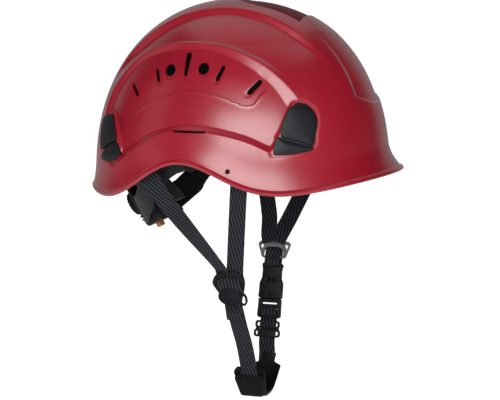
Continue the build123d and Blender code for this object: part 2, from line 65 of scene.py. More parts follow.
def dome(phi, z, grow=0):
    """Points of the dome at angle phi and height z, grown outward."""
    t = np.clip(z / (DOME_HEIGHT + grow), 0, 1)
    half = (HALF_WIDTH + grow) * (1 - t ** SIDE_POWER) ** (1 / ROUND_POWER)
    front = (FRONT_REACH + grow) * (1 - t ** FRONT_POWER) ** (1 / ROUND_POWER)
    rear = (REAR_REACH + grow) * (1 - t ** REAR_POWER) ** (1 / ROUND_POWER)
    along = np.where(np.cos(phi) > 0, front, rear)
    fade = (1 - np.clip((z - rim_height(phi)) / FLARE_HEIGHT, 0, 1)) ** FLARE_POWER
    flare = (LIP + BRIM * np.maximum(np.cos(phi), 0) ** 3) * fade
    return np.stack([-(half + flare) * np.sin(phi), -(along + flare) * np.cos(phi), z + 0 * phi], -1)


def on_dome(y, z, grow, side):
    """Points of the dome seen at (y, z) from one side (-1 right, +1 left)."""
    low, high = np.zeros_like(y), np.full_like(y, pi)
    for _ in range(40):
        mid = (low + high) / 2
        ahead = dome(mid, z, grow)[..., 1] < y
        low, high = np.where(ahead, mid, low), np.where(ahead, high, mid)
    point = dome((low + high) / 2, z, grow)
    point[..., 0] *= -side
    return point


# ---- mesh helpers ----
def link(data):
    """An object for some data, linked to the scene."""
    obj = bpy.data.objects.new(data.name, data)
    bpy.context.scene.collection.objects.link(obj)
    return obj


def shade(mesh, angle=None):
    """Smooth shading, with edges sharper than an angle in degrees kept sharp."""
    mesh.polygons.foreach_set("use_smooth", [True] * len(mesh.polygons))
    if angle:
        mesh.set_sharp_from_angle(angle=radians(angle))


def make_object(verts, faces, material, uv=None):
    """A mesh object from millimetre vertices; uv is one pair for each vertex."""
    mesh = bpy.data.meshes.new("piece")
    mesh.from_pydata((np.asarray(verts, float) * MM).tolist(), [], [list(map(int, f)) for f in faces])
    if uv is not None:
        loops = np.zeros(len(mesh.loops), int)
        mesh.loops.foreach_get("vertex_index", loops)
        layer = mesh.uv_layers.new(name="millimetres")
        layer.data.foreach_set("uv", np.asarray(uv, float)[loops].ravel())
    shade(mesh)
    mesh.update()
    mesh.materials.append(material)
    return link(mesh)


def grid_faces(rows, cols, wrap):
    """Quads between the rows of a grid of vertices."""
    r, c = np.meshgrid(np.arange(rows - 1), np.arange(cols if wrap else cols - 1), indexing="ij")
    n = (c + 1) % cols
    here, above = r * cols, (r + 1) * cols
    return np.stack([here + c, here + n, above + n, above + c], -1).reshape(-1, 4).tolist()


def fan(start, cols, tip):
    """Triangles from a ring of vertices to a tip."""
    return [(start + k, start + (k + 1) % cols, tip) for k in range(cols)]


def end_caps(rows, cols):
    """The two faces that close the ends of a wrapped grid."""
    return [tuple(range(cols))[::-1], tuple(range((rows - 1) * cols, rows * cols))]


def smooth_path(points, per_span=8, closed=False):
    """A Catmull-Rom curve through the points."""
    p = np.asarray(points, float)
    if closed:
        p = np.vstack([p[-1], p, p[0], p[1]])
    else:
        p = np.vstack([2 * p[0] - p[1], p, 2 * p[-1] - p[-2]])
    out = []
    for a, b, c, d in zip(p, p[1:], p[2:], p[3:]):
        for t in np.arange(per_span) / per_span:
            out.append(0.5 * (2 * b + (c - a) * t + (2 * a - 5 * b + 4 * c - d) * t ** 2
                              + (3 * b - a - 3 * c + d) * t ** 3))
    if not closed:
        out.append(p[-2])
    return np.array(out)


def outline_distance(outline, u, v, closed=True):
    """Distance to an outline; for a closed one it is positive inside."""
    best = np.full(u.shape, 1e9)
    inside = np.zeros(u.shape, bool)
    ends = np.roll(outline, -1, 0) if closed else outline[1:]
    for (au, av), (bu, bv) in zip(outline, ends):
        du, dv = bu - au, bv - av
        t = np.clip(((u - au) * du + (v - av) * dv) / (du * du + dv * dv + 1e-12), 0, 1)
        best = np.minimum(best, np.hypot(u - au - t * du, v - av - t * dv))
        if closed and abs(dv) > 1e-9:
            inside ^= ((av > v) != (bv > v)) & (u < du * (v - av) / dv + au)
    return np.where(inside, best, -best) if closed else best


def ramp(x, low, high):
    """0 below low, 1 above high, straight in between with slightly eased ends."""
    t = np.clip((x - low) / (high - low), 0, 1)
    eased = t * t * (3 - 2 * t)
    return 0.55 * t + 0.45 * eased


# ---- materials ----
class Net:
    """The nodes of a material or a world, and the steps that its look is made of."""

    def __init__(self, tree, shader):
        self.nodes, self.links, self.shader = tree.nodes, tree.links, tree.nodes[shader]

    def feed(self, socket, value):
        """Link an output into an input, or set the input's value."""
        if isinstance(value, bpy.types.NodeSocket):
            self.links.new(value, socket)
        else:
            socket.default_value = value

    def set(self, name, value):
        """Feed an input of the shader."""
        self.feed(self.shader.inputs[name], value)

    def add(self, kind, **values):
        """A new node; capitalised values are its inputs, the others its own settings."""
        node = self.nodes.new("ShaderNode" + kind)
        for name, value in values.items():
            if name[0].isupper():
                self.feed(node.inputs[name.replace("_", " ")], value)
            else:
                setattr(node, name, value)
        return node

    def coords(self, kind="Object", scale=(1, 1, 1), turn=0):
        """Texture coordinates with a mapping."""
        source = self.add("TexCoord").outputs[kind]
        return self.add("Mapping", Vector=source, Scale=scale, Rotation=(0, 0, turn)).outputs["Vector"]

    def noise(self, vector, scale, detail=3, rough=0.5):
        node = self.add("TexNoise", Vector=vector, Scale=scale, Detail=detail, Roughness=rough)
        return node.outputs["Fac"]

    def color_ramp(self, value, stops):
        """A 0..1 value turned into colours; the stops are (value, colour)."""
        node = self.add("ValToRGB", Fac=value)
        for element, (spot, color) in zip(node.color_ramp.elements, (stops[0], stops[-1])):
            element.position, element.color = spot, (*color, 1)
        for spot, color in stops[1:-1]:
            node.color_ramp.elements.new(spot).color = (*color, 1)
        return node.outputs["Color"]

    def spread(self, value, low, high):
        """A 0..1 value turned into a low..high value."""
        return self.add("MapRange", Value=value, To_Min=low, To_Max=high).outputs["Result"]

    def bump(self, height, strength, distance):
        """One more layer of relief over those that the shader has."""
        node = self.add("Bump", Strength=strength, Distance=distance, Height=height)
        below = self.shader.inputs["Normal"].links
        if below:
            self.feed(node.inputs["Normal"], below[0].from_socket)
        self.set("Normal", node.outputs["Normal"])


def material(name, color, build, **inputs):
    """A Principled material; build adds the procedural detail."""
    mat = bpy.data.materials.new(name)
    mat.use_nodes = True
    net = Net(mat.node_tree, "Principled BSDF")
    net.set("Base Color", (*color, 1))
    for key, value in inputs.items():
        net.set(key.replace("_", " "), value)
    build(net)
    return mat


def shell_detail(net):
    """Moulded gloss plastic with faint orange peel and colour drift; in the crown inset it is matt, and its
    colour there is darkened as painted shade.
    """
    place = net.coords()
    drift = net.noise(place, 9, 2)
    tint = net.color_ramp(drift, [(0.3, (0.37, 0.007, 0.023)), (0.7, (0.42, 0.010, 0.028))])
    matt = net.add("Attribute", attribute_name="matt").outputs["Fac"]
    # In the crown inset the colour turns dark maroon as painted shade, and the coat and specular drop for a
    # matt finish.
    tint_and_painted_shade = net.add("Mix", data_type="RGBA", Factor=matt, A=tint, B=(0.17, 0.012, 0.028, 1))
    net.set("Base Color", tint_and_painted_shade.outputs["Result"])
    net.set("Coat Weight", net.spread(matt, 0.9, 0))
    net.set("Specular IOR Level", net.spread(matt, 0.5, 0.05))
    net.set("Roughness", net.spread(net.noise(place, 60, 4), 0.34, 0.42))
    net.bump(net.noise(place, 420, 2), 0.05, 0.0004)
    net.bump(net.noise(place, 2200, 1), 0.04, 0.0002)


def plastic(name, low, high, gloss=0.5, grain=1600, strength=0.18):
    """Moulded matt plastic between two colours, with a fine spark-eroded grain."""
    def build(net):
        place = net.coords()
        net.set("Base Color", net.color_ramp(net.noise(place, 40, 3), [(0.3, low), (0.7, high)]))
        net.set("Roughness", net.spread(net.noise(place, 300, 3), 0.42, 0.58))
        net.bump(net.noise(place, grain, 2), strength, 0.0002)
    return material(name, low, build, Specular_IOR_Level=gloss)


RIB_TURN, RIB_SCALE = radians(17), 0.115


def webbing_detail(net):
    """Flat dark webbing: raised slanting ribs whose colour is lighter on the crests and darker in the
    grooves as painted shade, with cross picks and fuzz.
    """
    ribs = net.add("TexWave", bands_direction="Y", Vector=net.coords("UV", turn=RIB_TURN), Scale=RIB_SCALE,
                   Distortion=1.1, Detail=1, Detail_Scale=0.3).outputs["Fac"]
    fibre = net.noise(net.coords("UV", scale=(1.6, 0.25, 1)), 2.4, 3, 0.7)
    rib_shade_and_fibre_tone = net.add("Math", operation="MULTIPLY_ADD")
    for socket, value in zip(rib_shade_and_fibre_tone.inputs, (fibre, 0.45, ribs)):
        net.feed(socket, value)
    # Painted shade: the colour darkens in the grooves between the ribs and lightens on their crests; the
    # fibre noise adds a random tone.
    stops = [(0.35, (0.0025, 0.003, 0.0045)), (0.75, (0.016, 0.0175, 0.024)), (1, (0.042, 0.046, 0.06))]
    net.set("Base Color", net.color_ramp(rib_shade_and_fibre_tone.outputs[0], stops))
    picks = net.add("TexWave", bands_direction="X", Vector=net.coords("UV"), Scale=0.5).outputs["Fac"]
    net.bump(ribs, 0.7, 0.0004)
    net.bump(picks, 0.35, 0.0002)
    net.bump(fibre, 0.3, 0.0002)


def cloth_detail(net):
    """Brushed knit over foam: tiny loops and a soft uneven pile."""
    place = net.coords()
    loops = net.add("TexVoronoi", Vector=place, Scale=900).outputs["Distance"]
    pile = net.noise(place, 120, 4, 0.6)
    stops = [(0.3, (0.012, 0.012, 0.014)), (0.75, (0.034, 0.035, 0.04))]
    net.set("Base Color", net.color_ramp(pile, stops))
    net.bump(loops, 0.5, 0.0004)
    net.bump(pile, 0.3, 0.0008)


def steel_detail(net):
    """Zinc-plated steel with fine drawing marks."""
    marks = net.noise(net.coords(scale=(1, 12, 1)), 700, 4)
    net.set("Roughness", net.spread(marks, 0.22, 0.42))
    net.bump(marks, 0.08, 0.0001)


M_SHELL = material("shell_red", (0.46, 0.010, 0.030), shell_detail, Coat_Roughness=0.24)
M_BLACK = plastic("black_plastic", (0.0045, 0.005, 0.006), (0.008, 0.0085, 0.0105), 0.22)
M_CLIP = plastic("clip_plastic", (0.007, 0.008, 0.011), (0.011, 0.013, 0.017), 0.35, 900, 0.12)
M_GREY = plastic("grey_plastic", (0.13, 0.131, 0.138), (0.17, 0.17, 0.18))
M_ORANGE = plastic("orange_plastic", (0.66, 0.17, 0.015), (0.78, 0.24, 0.03))
M_RUBBER = plastic("soft_rubber", (0.004, 0.0042, 0.005), (0.0075, 0.008, 0.0095), 0.14, 1100, 0.25)
M_DARK = plastic("vent_lining", (0.002, 0.002, 0.003), (0.005, 0.005, 0.006), 0.05)
M_WEB = material("webbing", (0.014, 0.015, 0.02), webbing_detail, Roughness=0.78, Sheen_Weight=0.05,
                 Specular_IOR_Level=0.2)
M_CLOTH = material("pad_cloth", (0.02, 0.02, 0.024), cloth_detail, Roughness=0.9, Sheen_Weight=0.5)
M_STEEL = material("steel", (0.55, 0.55, 0.56), steel_detail, Metallic=1)

SLOT_MATERIALS = {"shell_red": M_SHELL, "black_plastic": M_BLACK, "pad_cloth": M_CLOTH,
                  "webbing": M_WEB, "grey_plastic": M_GREY, "orange_plastic": M_ORANGE,
                  "steel": M_STEEL, "soft_rubber": M_RUBBER}
for part in frame["record"]["subparts"]:
    node = frame["nodes"][part["node"]]
    node.data.materials.clear()
    node.data.materials.append(SLOT_MATERIALS[part["material_slot"]])
for node in ("vent_mesh_left", "vent_mesh_right"):
    frame["nodes"][node].data.materials[0] = M_DARK


def place(piece, name, body, slot, *nodes):
    """Name a finished piece and seat it in the frame."""
    piece.name = piece.data.name = name
    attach(piece, body)
    if nodes:
        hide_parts(*nodes)


# ---- shell ----
# Side-view outlines (y, z) of the sunken side panel, its crease, the clips and the vents.
LEDGE = [(80, 18), (72, 25), (56, 34.5), (41, 42.6), (25, 46.6), (11, 47.3), (-3, 46.7), (-16, 44.6),
         (-36, 39.4), (-56.5, 30)]
PANEL_ARC = [(-80, 62), (-69, 78), (-58, 90.5), (-43, 102), (-24, 111), (-7, 116), (16, 118), (39.5, 116.5),
             (60, 111), (75, 102), (88.5, 88), (98, 73), (103, 57), (102, 40)]
CREASE = [(66, 60.5), (63, 63), (49, 71), (35, 76.4), (17, 79.7), (-0.4, 78.5), (-17, 74.4), (-31, 69.4),
          (-37, 68.8), (-41, 71), (-48.6, 81)]
ABOVE_CREASE = [(-66, 92), (-20, 122), (40, 122), (100, 90), (98, 40)]
FRONT_CLIP = [(-72, 71), (-79, 69.5), (-85, 64), (-87.5, 57), (-87, 45), (-86, 34.2), (-72, 30.6),
              (-57, 28.5), (-59, 36), (-62.5, 46), (-63, 48), (-66, 57), (-70, 69)]
REAR_CLIP = [(96, 57), (92, 56), (84, 38), (80, 26.5), (84.5, 18), (88, 16.5), (101, 24), (104, 34),
             (101, 48)]
VENT_SLOTS = [((65.6, 73.9), (71.4, 80.6), 3.2), ((45, 86), (48, 94), 3.2),
              ((-7.9, 88), (-11.7, 97.5), 3.4), ((-35.2, 78), (-41.9, 85.9), 4.2)]
KEYHOLE = ((20, 91.5), (20, 106.5), 3.2, 5)
ROUND_VENTS = [(34.9, 94.6), (4.9, 96.2)]
ROUND_VENT_R = 4.8
STUD_HOLE, STUD_HOLE_R = (-23, 15.9), 2.0
MUFF_SLOT = (10.8, 46.6, 28, 1.7)
PANEL_DEPTH, BAND_DEPTH, INSET_DEPTH, FIELD_DEPTH = 3.4, 4.6, 1.6, 2.2
SEAT_DEPTH, BEAD_HEIGHT, GROOVE_DEPTH = 0.6, 0.9, 0.35
BAND_HALF, CROWN_LEVEL = 38, 100
INSET_HALF, INSET_ROUND, INSET_FRONT = 27, -22, -62
CUT_NEAR, CUT_FAR = 40, 150      # reach of the cutters along x, clear of both sides' walls
SHELL_COLS, SHELL_ROWS, INNER_ROWS = 720, 230, 50


def slope(x, width):
    """A straight chamfer from 0 to 1 with slightly eased edges."""
    t = np.clip(x / width, 0, 1)
    return 0.75 * t + 0.25 * t * t * (3 - 2 * t)


def vent_distance(y, z):
    """Distance to the nearest edge of a vent, seen from the side."""
    slots = VENT_SLOTS + [KEYHOLE[:3]]
    gaps = [outline_distance([low, high], y, z, closed=False) - width / 2 for low, high, width in slots]
    gaps += [np.hypot(y - cy, z - cz) - ROUND_VENT_R for cy, cz in ROUND_VENTS]
    return np.min(gaps, axis=0)


def crown_inset(x, y):
    """Distance inside the sunk field on the crown: rounded at its rear end, square ahead."""
    rear_round = INSET_HALF - np.hypot(x, np.maximum(y - INSET_ROUND, 0) * 1.2)
    ahead = np.minimum(INSET_HALF + 0.05 * (-y) - np.abs(x), y - INSET_FRONT)
    return np.where(y > INSET_ROUND, rear_round, ahead)


def side_relief(y, z, inside, on_side):
    """The sunken side panel with its crease, the softened vent edges and the clips' seats."""
    ledge = outline_distance(smooth_path(LEDGE), y, z, closed=False)
    width = np.where(ledge < 12, 4.8, 4.4 + 3.4 * ramp(-y, -10, 45))
    relief = -PANEL_DEPTH * slope(inside, width) * on_side
    crease = outline_distance(smooth_path(CREASE), y, z, closed=False)
    field = outline_distance(smooth_path(CREASE + ABOVE_CREASE), y, z)
    step = np.where(field > 0, -0.9 * (1 - ramp(crease, 0, 18)), 0.35 * np.exp(-(crease / 1.3) ** 2))
    relief += step * ((crease < 30) * on_side * ramp(y, -49, -44))
    relief -= 0.3 * np.exp(-(np.maximum(vent_distance(y, z), 0) / 0.6) ** 2) * on_side
    for clip in (FRONT_CLIP, REAR_CLIP):
        seat = ramp(outline_distance(smooth_path(clip, 4, True), y, z), -2.6, -0.2)
        relief = relief * (1 - seat) - SEAT_DEPTH * seat * on_side
    return relief


def crown_band(wide, y, z):
    """How far the surface beside the crown band falls away; it fades out on forehead and nape."""
    band_edge = BAND_HALF + 0.09 * np.maximum(-y - 5, 0)
    lasts = ramp(z, 78, 118) * ramp(y, -96, -62)
    return BAND_DEPTH * slope(wide - band_edge, 5) * lasts


def forehead_field(wide, y, z):
    """Depth of the blank field on the forehead, deepest at its lower ledge."""
    sag = 72 - 6 * np.maximum(1 - (wide / 36) ** 2, 0)
    side_edge = 34 + 5 * (121 - z) / 49 - wide
    deep = np.clip((126 - z) / 48, 0, 1) ** 0.8
    return FIELD_DEPTH * (ramp(side_edge, 0, 5) * ramp(z - sag, 0, 1.8) * deep) * (y < 0) * (z > 60)


def shell_relief(point, above):
    """How far the moulded surface stands out of (+) or sinks below (-) the dome."""
    x, y, z = point[..., 0], point[..., 1], point[..., 2]
    wide = np.abs(x)
    panel = np.array(list(smooth_path(PANEL_ARC)) + list(smooth_path(LEDGE)))
    inside = outline_distance(panel, y, z)
    on_side = ramp(wide, 35, 50)
    relief = side_relief(y, z, inside, on_side)
    relief -= crown_band(wide, y, z) * (1 - ramp(inside, -3, 1) * on_side)
    relief -= INSET_DEPTH * ramp(crown_inset(x, y), 0, 1.6) * (z > CROWN_LEVEL)
    relief -= forehead_field(wide, y, z)
    bead = BEAD_HEIGHT * np.exp(-((above - 1.3) / 1.1) ** 2)
    groove = GROOVE_DEPTH * np.exp(-((above - 3.6) / 0.9) ** 2)
    return relief + (bead - groove)


def shell_normals(grid):
    """Outward normals of a wrapped grid of points."""
    along = np.roll(grid, -1, 1) - np.roll(grid, 1, 1)
    up = np.gradient(grid, axis=0)
    normal = np.cross(up, along)
    length = np.linalg.norm(normal, axis=-1, keepdims=True)
    normal = normal / np.maximum(length, 1e-9)
    normal[-1] = (0, 0, 1)
    centre = np.array([0, 0, 30])
    facing = np.sign(np.sum(normal * (grid - centre), -1, keepdims=True))
    return normal * facing


def shell_surface(rows):
    """The bare dome from rim to crown with its normals and its height above the rim."""
    phi = np.linspace(0, 2 * pi, SHELL_COLS, endpoint=False)[None, :]
    step = np.linspace(0, 1, rows)[:, None]
    rim = rim_height(phi)
    z = rim + (DOME_HEIGHT * 0.99995 - rim) * np.sin(step * pi / 2)
    grid = dome(phi + 0 * step, z)
    return grid, shell_normals(grid), z - rim


def build_shell():
    """Closed shell: relief outside, plain inside, rounded rim."""
    outer, normal, above = shell_surface(SHELL_ROWS)
    relief = shell_relief(outer, above)
    inner, inner_normal, inner_above = shell_surface(INNER_ROWS)
    hollow = np.minimum(shell_relief(inner, inner_above + 20), 0)
    outside = outer + normal * relief[..., None]
    inside = inner + inner_normal * (hollow - WALL)[..., None]
    inside[0] = outside[0] - normal[0] * WALL
    inside[0][:, 2] = outside[0][:, 2]
    lip = []
    for turn in (0.25, 0.5, 0.75):
        edge = outside[0] * (1 - turn) + inside[0] * turn
        edge = edge - np.array([0, 0, 1]) * (1.1 * sin(turn * pi))
        lip.append(edge)
    rings = [outside[::-1], np.array(lip), inside]
    poles = [outside[-1].mean(0), inside[-1].mean(0)]
    verts = np.concatenate([r.reshape(-1, 3) for r in rings] + [poles])
    rows = SHELL_ROWS + len(lip) + INNER_ROWS
    pole = rows * SHELL_COLS
    faces = grid_faces(rows, SHELL_COLS, True)
    faces += fan(0, SHELL_COLS, pole) + fan(pole - SHELL_COLS, SHELL_COLS, pole + 1)
    return make_object(verts, faces, M_SHELL)


def stadium(low, high, width, top_width=None, count=14):
    """Outline of a slot between two points, its upper end as wide as top_width."""
    low, high = np.array(low), np.array(high)
    angle = np.arctan2(*(high - low)[::-1])
    ends = ((high, (top_width or width) / 2, -pi / 2), (low, width / 2, pi / 2))
    return np.array([c + r * np.array([cos(angle + s + pi * k / count), sin(angle + s + pi * k / count)])
                     for c, r, s in ends for k in range(count + 1)])


def round_hole(y, z, radius, count):
    """Outline of a round hole: a slot of almost no length."""
    return stadium((y, z - 0.01), (y, z + 0.01), 2 * radius, count=count)


def rectangle(x, y, wide, tall):
    """Corners of a rectangle about (x, y)."""
    right, up = wide / 2, tall / 2
    return [(x - right, y - up), (x + right, y - up), (x + right, y + up), (x - right, y + up)]


def prism(outline, x_from, x_to):
    """Closed prism along X over a side-view outline: vertices and faces."""
    n = len(outline)
    verts = [(x, y, z) for x in (x_from, x_to) for y, z in outline]
    return verts, grid_faces(2, n, True) + end_caps(2, n)


def cut_openings(shell):
    """Cut the vents, the stud holes and the accessory slots through the shell."""
    outlines = [stadium(a, b, w) for a, b, w in VENT_SLOTS] + [stadium(*KEYHOLE)]
    outlines += [round_hole(y, z, ROUND_VENT_R, 24) for y, z in ROUND_VENTS]
    outlines += [round_hole(*STUD_HOLE, STUD_HOLE_R, 14), rectangle(*MUFF_SLOT)]
    verts, faces = [], []
    for outline in outlines:
        for x_from, x_to in ((-CUT_FAR, -CUT_NEAR), (CUT_NEAR, CUT_FAR)):
            more, quads = prism(outline, x_from, x_to)
            faces += [tuple(len(verts) + k for k in f) for f in quads]
            verts += more
    cutter = make_object(verts, faces, M_SHELL)
    weld(cutter, 0)
    apply_boolean(shell, cutter)


def apply_boolean(target, cutter):
    """Subtract the cutter from the target and remove it."""
    change = target.modifiers.new("cut", "BOOLEAN")
    change.operation, change.object, change.solver = "DIFFERENCE", cutter, "MANIFOLD"
    bake(target)
    bpy.data.objects.remove(cutter)


def bake(obj):
    """Apply every modifier of an object to its mesh."""
    bpy.context.view_layer.update()
    graph = bpy.context.evaluated_depsgraph_get()
    result = bpy.data.meshes.new_from_object(obj.evaluated_get(graph), depsgraph=graph)
    obj.modifiers.clear()
    obj.data = result


def positions(mesh):
    """The vertices of a mesh as rows of x, y, z in metres."""
    flat = np.zeros(len(mesh.vertices) * 3)
    mesh.vertices.foreach_get("co", flat)
    return flat.reshape(-1, 3)


def weld(obj, distance=0.02):
    """Merge vertices closer than a distance, if it isn't 0, and point all faces outward."""
    work = bmesh.new()
    work.from_mesh(obj.data)
    if distance:
        bmesh.ops.remove_doubles(work, verts=work.verts, dist=distance * MM)
    bmesh.ops.recalc_face_normals(work, faces=work.faces)
    work.to_mesh(obj.data)
    work.free()


shell = build_shell()
weld(shell)
cut_openings(shell)
shade(shell.data, 38)
x, y, z = positions(shell.data).T / MM
# Mask of the crown inset: a matt finish there, and a darker colour painted as shade.
matt = shell.data.attributes.new("matt", "FLOAT", "POINT")
matt.data.foreach_set("value", ramp(crown_inset(x, y), 0.4, 1.6) * (z > CROWN_LEVEL))
place(shell, "helmet_shell", "helmet", "shell_red", "shell")


# ---- shapes built from outlines ----
def rounded(points, radius, count=5):
    """A closed outline with its corners rounded."""
    p = [np.array(q, float) for q in points]
    out = []
    for before, corner, after in zip([p[-1]] + p[:-1], p, p[1:] + p[:1]):
        to_before, to_after = before - corner, after - corner
        reach = min(radius, 0.45 * np.linalg.norm(to_before), 0.45 * np.linalg.norm(to_after))
        start = corner + to_before / np.linalg.norm(to_before) * reach
        end = corner + to_after / np.linalg.norm(to_after) * reach
        for t in np.linspace(0, 1, count):
            out.append((1 - t) ** 2 * start + 2 * t * (1 - t) * corner + t * t * end)
    return out


def circle(radius, x=0, y=0, count=32):
    turns = [2 * pi * k / count for k in range(count)]
    return [(x + radius * cos(a), y + radius * sin(a)) for a in turns]


class Frame:
    """A plane in the object: an origin in mm with x, y and outward z directions."""

    def __init__(self, origin, x_dir, z_dir):
        self.origin = Vector(origin)
        self.z = Vector(z_dir).normalized()
        self.x = (Vector(x_dir) - self.z * Vector(x_dir).dot(self.z)).normalized()
        self.y = self.z.cross(self.x)

    def at(self, x, y, z=0):
        return self.origin + self.x * x + self.y * y + self.z * z

    def matrix(self, z=0):
        turn = Matrix((self.x, self.y, self.z)).transposed().to_4x4()
        return Matrix.Translation(self.at(0, 0, z) * MM) @ turn


def plate(frame_, outline, low, high, bevel=0.5, holes=(), mat=None, segments=3):
    """A plate with rounded edges between two heights of a plane, with holes."""
    curve = bpy.data.curves.new("outline", "CURVE")
    curve.dimensions, curve.fill_mode = "2D", "BOTH"
    curve.extrude = ((high - low) / 2 - bevel) * MM
    curve.bevel_depth, curve.offset, curve.bevel_resolution = bevel * MM, -bevel * MM, segments
    for loop in (outline, *holes):
        spline = curve.splines.new("POLY")
        spline.points.add(len(loop) - 1)
        spline.use_cyclic_u = True
        for point, (x, y) in zip(spline.points, loop):
            point.co = (x * MM, y * MM, 0, 1)
    holder = link(curve)
    bpy.context.view_layer.update()
    mesh = bpy.data.meshes.new_from_object(holder)
    bpy.data.objects.remove(holder)
    mesh.transform(frame_.matrix((low + high) / 2))
    mesh.materials.clear()
    mesh.materials.append(mat or M_BLACK)
    obj = link(mesh)
    weld(obj, 0.005)
    shade(mesh, 40)
    return obj


def join(pieces):
    """Join pieces into one object, keeping their materials."""
    bpy.ops.object.select_all(action="DESELECT")
    for piece in pieces:
        piece.select_set(True)
    bpy.context.view_layer.objects.active = pieces[0]
    bpy.ops.object.join()
    return pieces[0]


def crowned_pad(outline, rings, crown, seat, mat):
    """A closed pad over an outline: rings are (inset, level), crown is (way to the centre, level),
    and seat turns flat points and a level into points of the object."""
    outline = np.array(outline)
    centre = outline.mean(0)
    inward = (centre - outline) / np.linalg.norm(outline - centre, axis=1, keepdims=True)
    base = outline + inward * rings[-1][0]
    verts = [seat(outline + inward * inset, level) for inset, level in rings]
    verts += [seat(base + (centre - base) * way, level) for way, level in crown]
    rows, cols = len(verts), len(outline)
    verts[-1] = verts[-1][:1]
    faces = grid_faces(rows - 1, cols, True) + fan((rows - 2) * cols, cols, (rows - 1) * cols)
    faces.append(tuple(range(cols)))
    obj = make_object(np.concatenate(verts), faces, mat)
    weld(obj)
    obj.data.set_sharp_from_angle(angle=radians(50))
    return obj


def dome_pad(outline, side, top, mat, edge=1.4, crown=0, foot=-4):
    """A raised pad that follows the dome inside a side-view outline."""
    rings = [(0, foot), (0, top - edge)]
    rings += [(edge * (1 - cos(a)), top - edge + edge * sin(a)) for a in np.linspace(0.3, pi / 2, 5)]
    crowns = [(f, top + crown * (1 - (1 - f) ** 2)) for f in (0.12, 0.3, 0.5, 0.7, 0.88, 1)]
    return crowned_pad(outline, rings, crowns, lambda flat, level: on_dome(*flat.T, level, side), mat)


# ---- lamp clips ----
FRONT_UPPER = [(-70.6, 68.2), (-75, 67.9), (-80.8, 65.6), (-85.3, 61.9), (-87.5, 57.6), (-88.1, 52.3),
               (-86.6, 36.6), (-66.5, 42.6), (-64.5, 43.4), (-61.9, 47.2), (-63.8, 56.1), (-67.2, 66.5)]
FRONT_LOWER = [(-59.6, 43.4), (-61.2, 43.3), (-66, 40.6), (-86.4, 34.2), (-86, 32.4), (-72.3, 29.7),
               (-59.6, 28.9), (-57.4, 31.5), (-58.5, 39.4)]
REAR_UPPER = [(93, 56.8), (89.8, 55.8), (86, 46.1), (82.6, 36.4), (88.2, 34.2), (95.9, 30.4),
              (104, 25.4), (106, 34), (106, 46.9), (103.4, 53.4), (98.4, 56.2)]
REAR_LOWER = [(82, 34.4), (79.2, 29.7), (76.5, 24.6), (81.5, 21), (87.8, 17.8), (96.6, 16.8),
              (103.5, 18.6), (102.5, 23), (92.7, 29.6)]
for side, word in ((-1, "right"), (1, "left")):
    for end, upper, lower, seat in (("front", FRONT_UPPER, FRONT_LOWER, FRONT_CLIP),
                                    ("rear", REAR_UPPER, REAR_LOWER, REAR_CLIP)):
        parts = [dome_pad(rounded(upper, 2, 4), side, 2.6, M_CLIP, 1.3, 0.5),
                 dome_pad(rounded(lower, 1.4, 4), side, 2, M_CLIP, 0.9, 0.8),
                 dome_pad(rounded(seat, 1.5, 3), side, -0.3, M_CLIP)]
        place(join(parts), f"clip_{end}_{word}", "helmet", "black_plastic", f"lamp_clip_{end}_{word}")

# ---- strap anchor plates inside the shell ----
plates = []
for side in (-1, 1):
    for outline in ([(-42, 30), (-40, 14), (-28, 9.5), (-13, 10.5), (-12, 26), (-24, 33)],
                    [(40, 33), (42, 26), (50, 18), (61, 11), (60, 17), (50, 26)]):
        plates.append(dome_pad(rounded(outline, 3, 4), side, -7.2, M_BLACK, 0.5, 0, -8.8))
place(join(plates), "anchor_plates", "helmet", "black_plastic")

# ---- webbing ----
WEB_W, WEB_T = 15, 1.5
WEB_STEP = 0.7              # length of one row of faces
WAVE_RATE = 20.0            # the material's ribs turn by this many radians for each unit of their scale
SELVEDGE = 0.10             # height of the raised edges


def webbing(path, across=(0, 1, 0), width=WEB_W, thick=WEB_T, rib=0.16, per_span=24):
    """Flat ribbed webbing along a path; across is the width direction, or one for each path point."""
    line = smooth_path(path, per_span)
    wide = smooth_path(np.broadcast_to(np.array(across, float), (len(path), 3)), per_span)
    dist = np.concatenate([[0], np.cumsum(np.linalg.norm(np.diff(line, axis=0), axis=1))])
    u = np.linspace(0, dist[-1], max(int(dist[-1] / WEB_STEP), 8))
    line, wide = (np.stack([np.interp(u, dist, p[:, k]) for k in range(3)], -1) for p in (line, wide))
    along = np.gradient(line, axis=0)
    along /= np.linalg.norm(along, axis=1, keepdims=True)
    wide -= along * np.sum(wide * along, 1, keepdims=True)
    wide /= np.linalg.norm(wide, axis=1, keepdims=True)
    normal = np.cross(along, wide)
    round_x, round_r = width / 2 - thick / 2, thick / 2
    edge = [(round_x + round_r * sin(a), round_r * cos(a)) for a in (0.5, 1.2, pi - 1.2, pi - 0.5)]
    section = [(v, round_r) for v in np.linspace(-1, 1, 28) * round_x] + edge
    section = np.array(section + [(-v, -h) for v, h in section])
    v, h = section.T[:, None, :]
    u = u[:, None]
    phase = WAVE_RATE * RIB_SCALE * (u * sin(RIB_TURN) + v * cos(RIB_TURN)) - pi / 2
    face = np.clip(1 - (np.abs(v) / (width / 2)) ** 8, 0, 1)
    lift = rib * (0.5 + 0.5 * np.sin(phase)) * face
    selvedge = SELVEDGE * np.exp(-((np.abs(v) - width / 2 + 1) / 0.5) ** 2)
    h = h + np.sign(h) * (lift + selvedge - rib / 2)
    v = v + 0 * u
    verts = line[:, None, :] + wide[:, None, :] * v[..., None] + normal[:, None, :] * h[..., None]
    rows, cols = v.shape
    uv = np.stack([u + 0 * v, v], -1).reshape(-1, 2)
    faces = grid_faces(rows, cols, True) + end_caps(rows, cols)
    obj = make_object(verts.reshape(-1, 3), faces, M_WEB, uv)
    weld(obj, 0)
    return obj


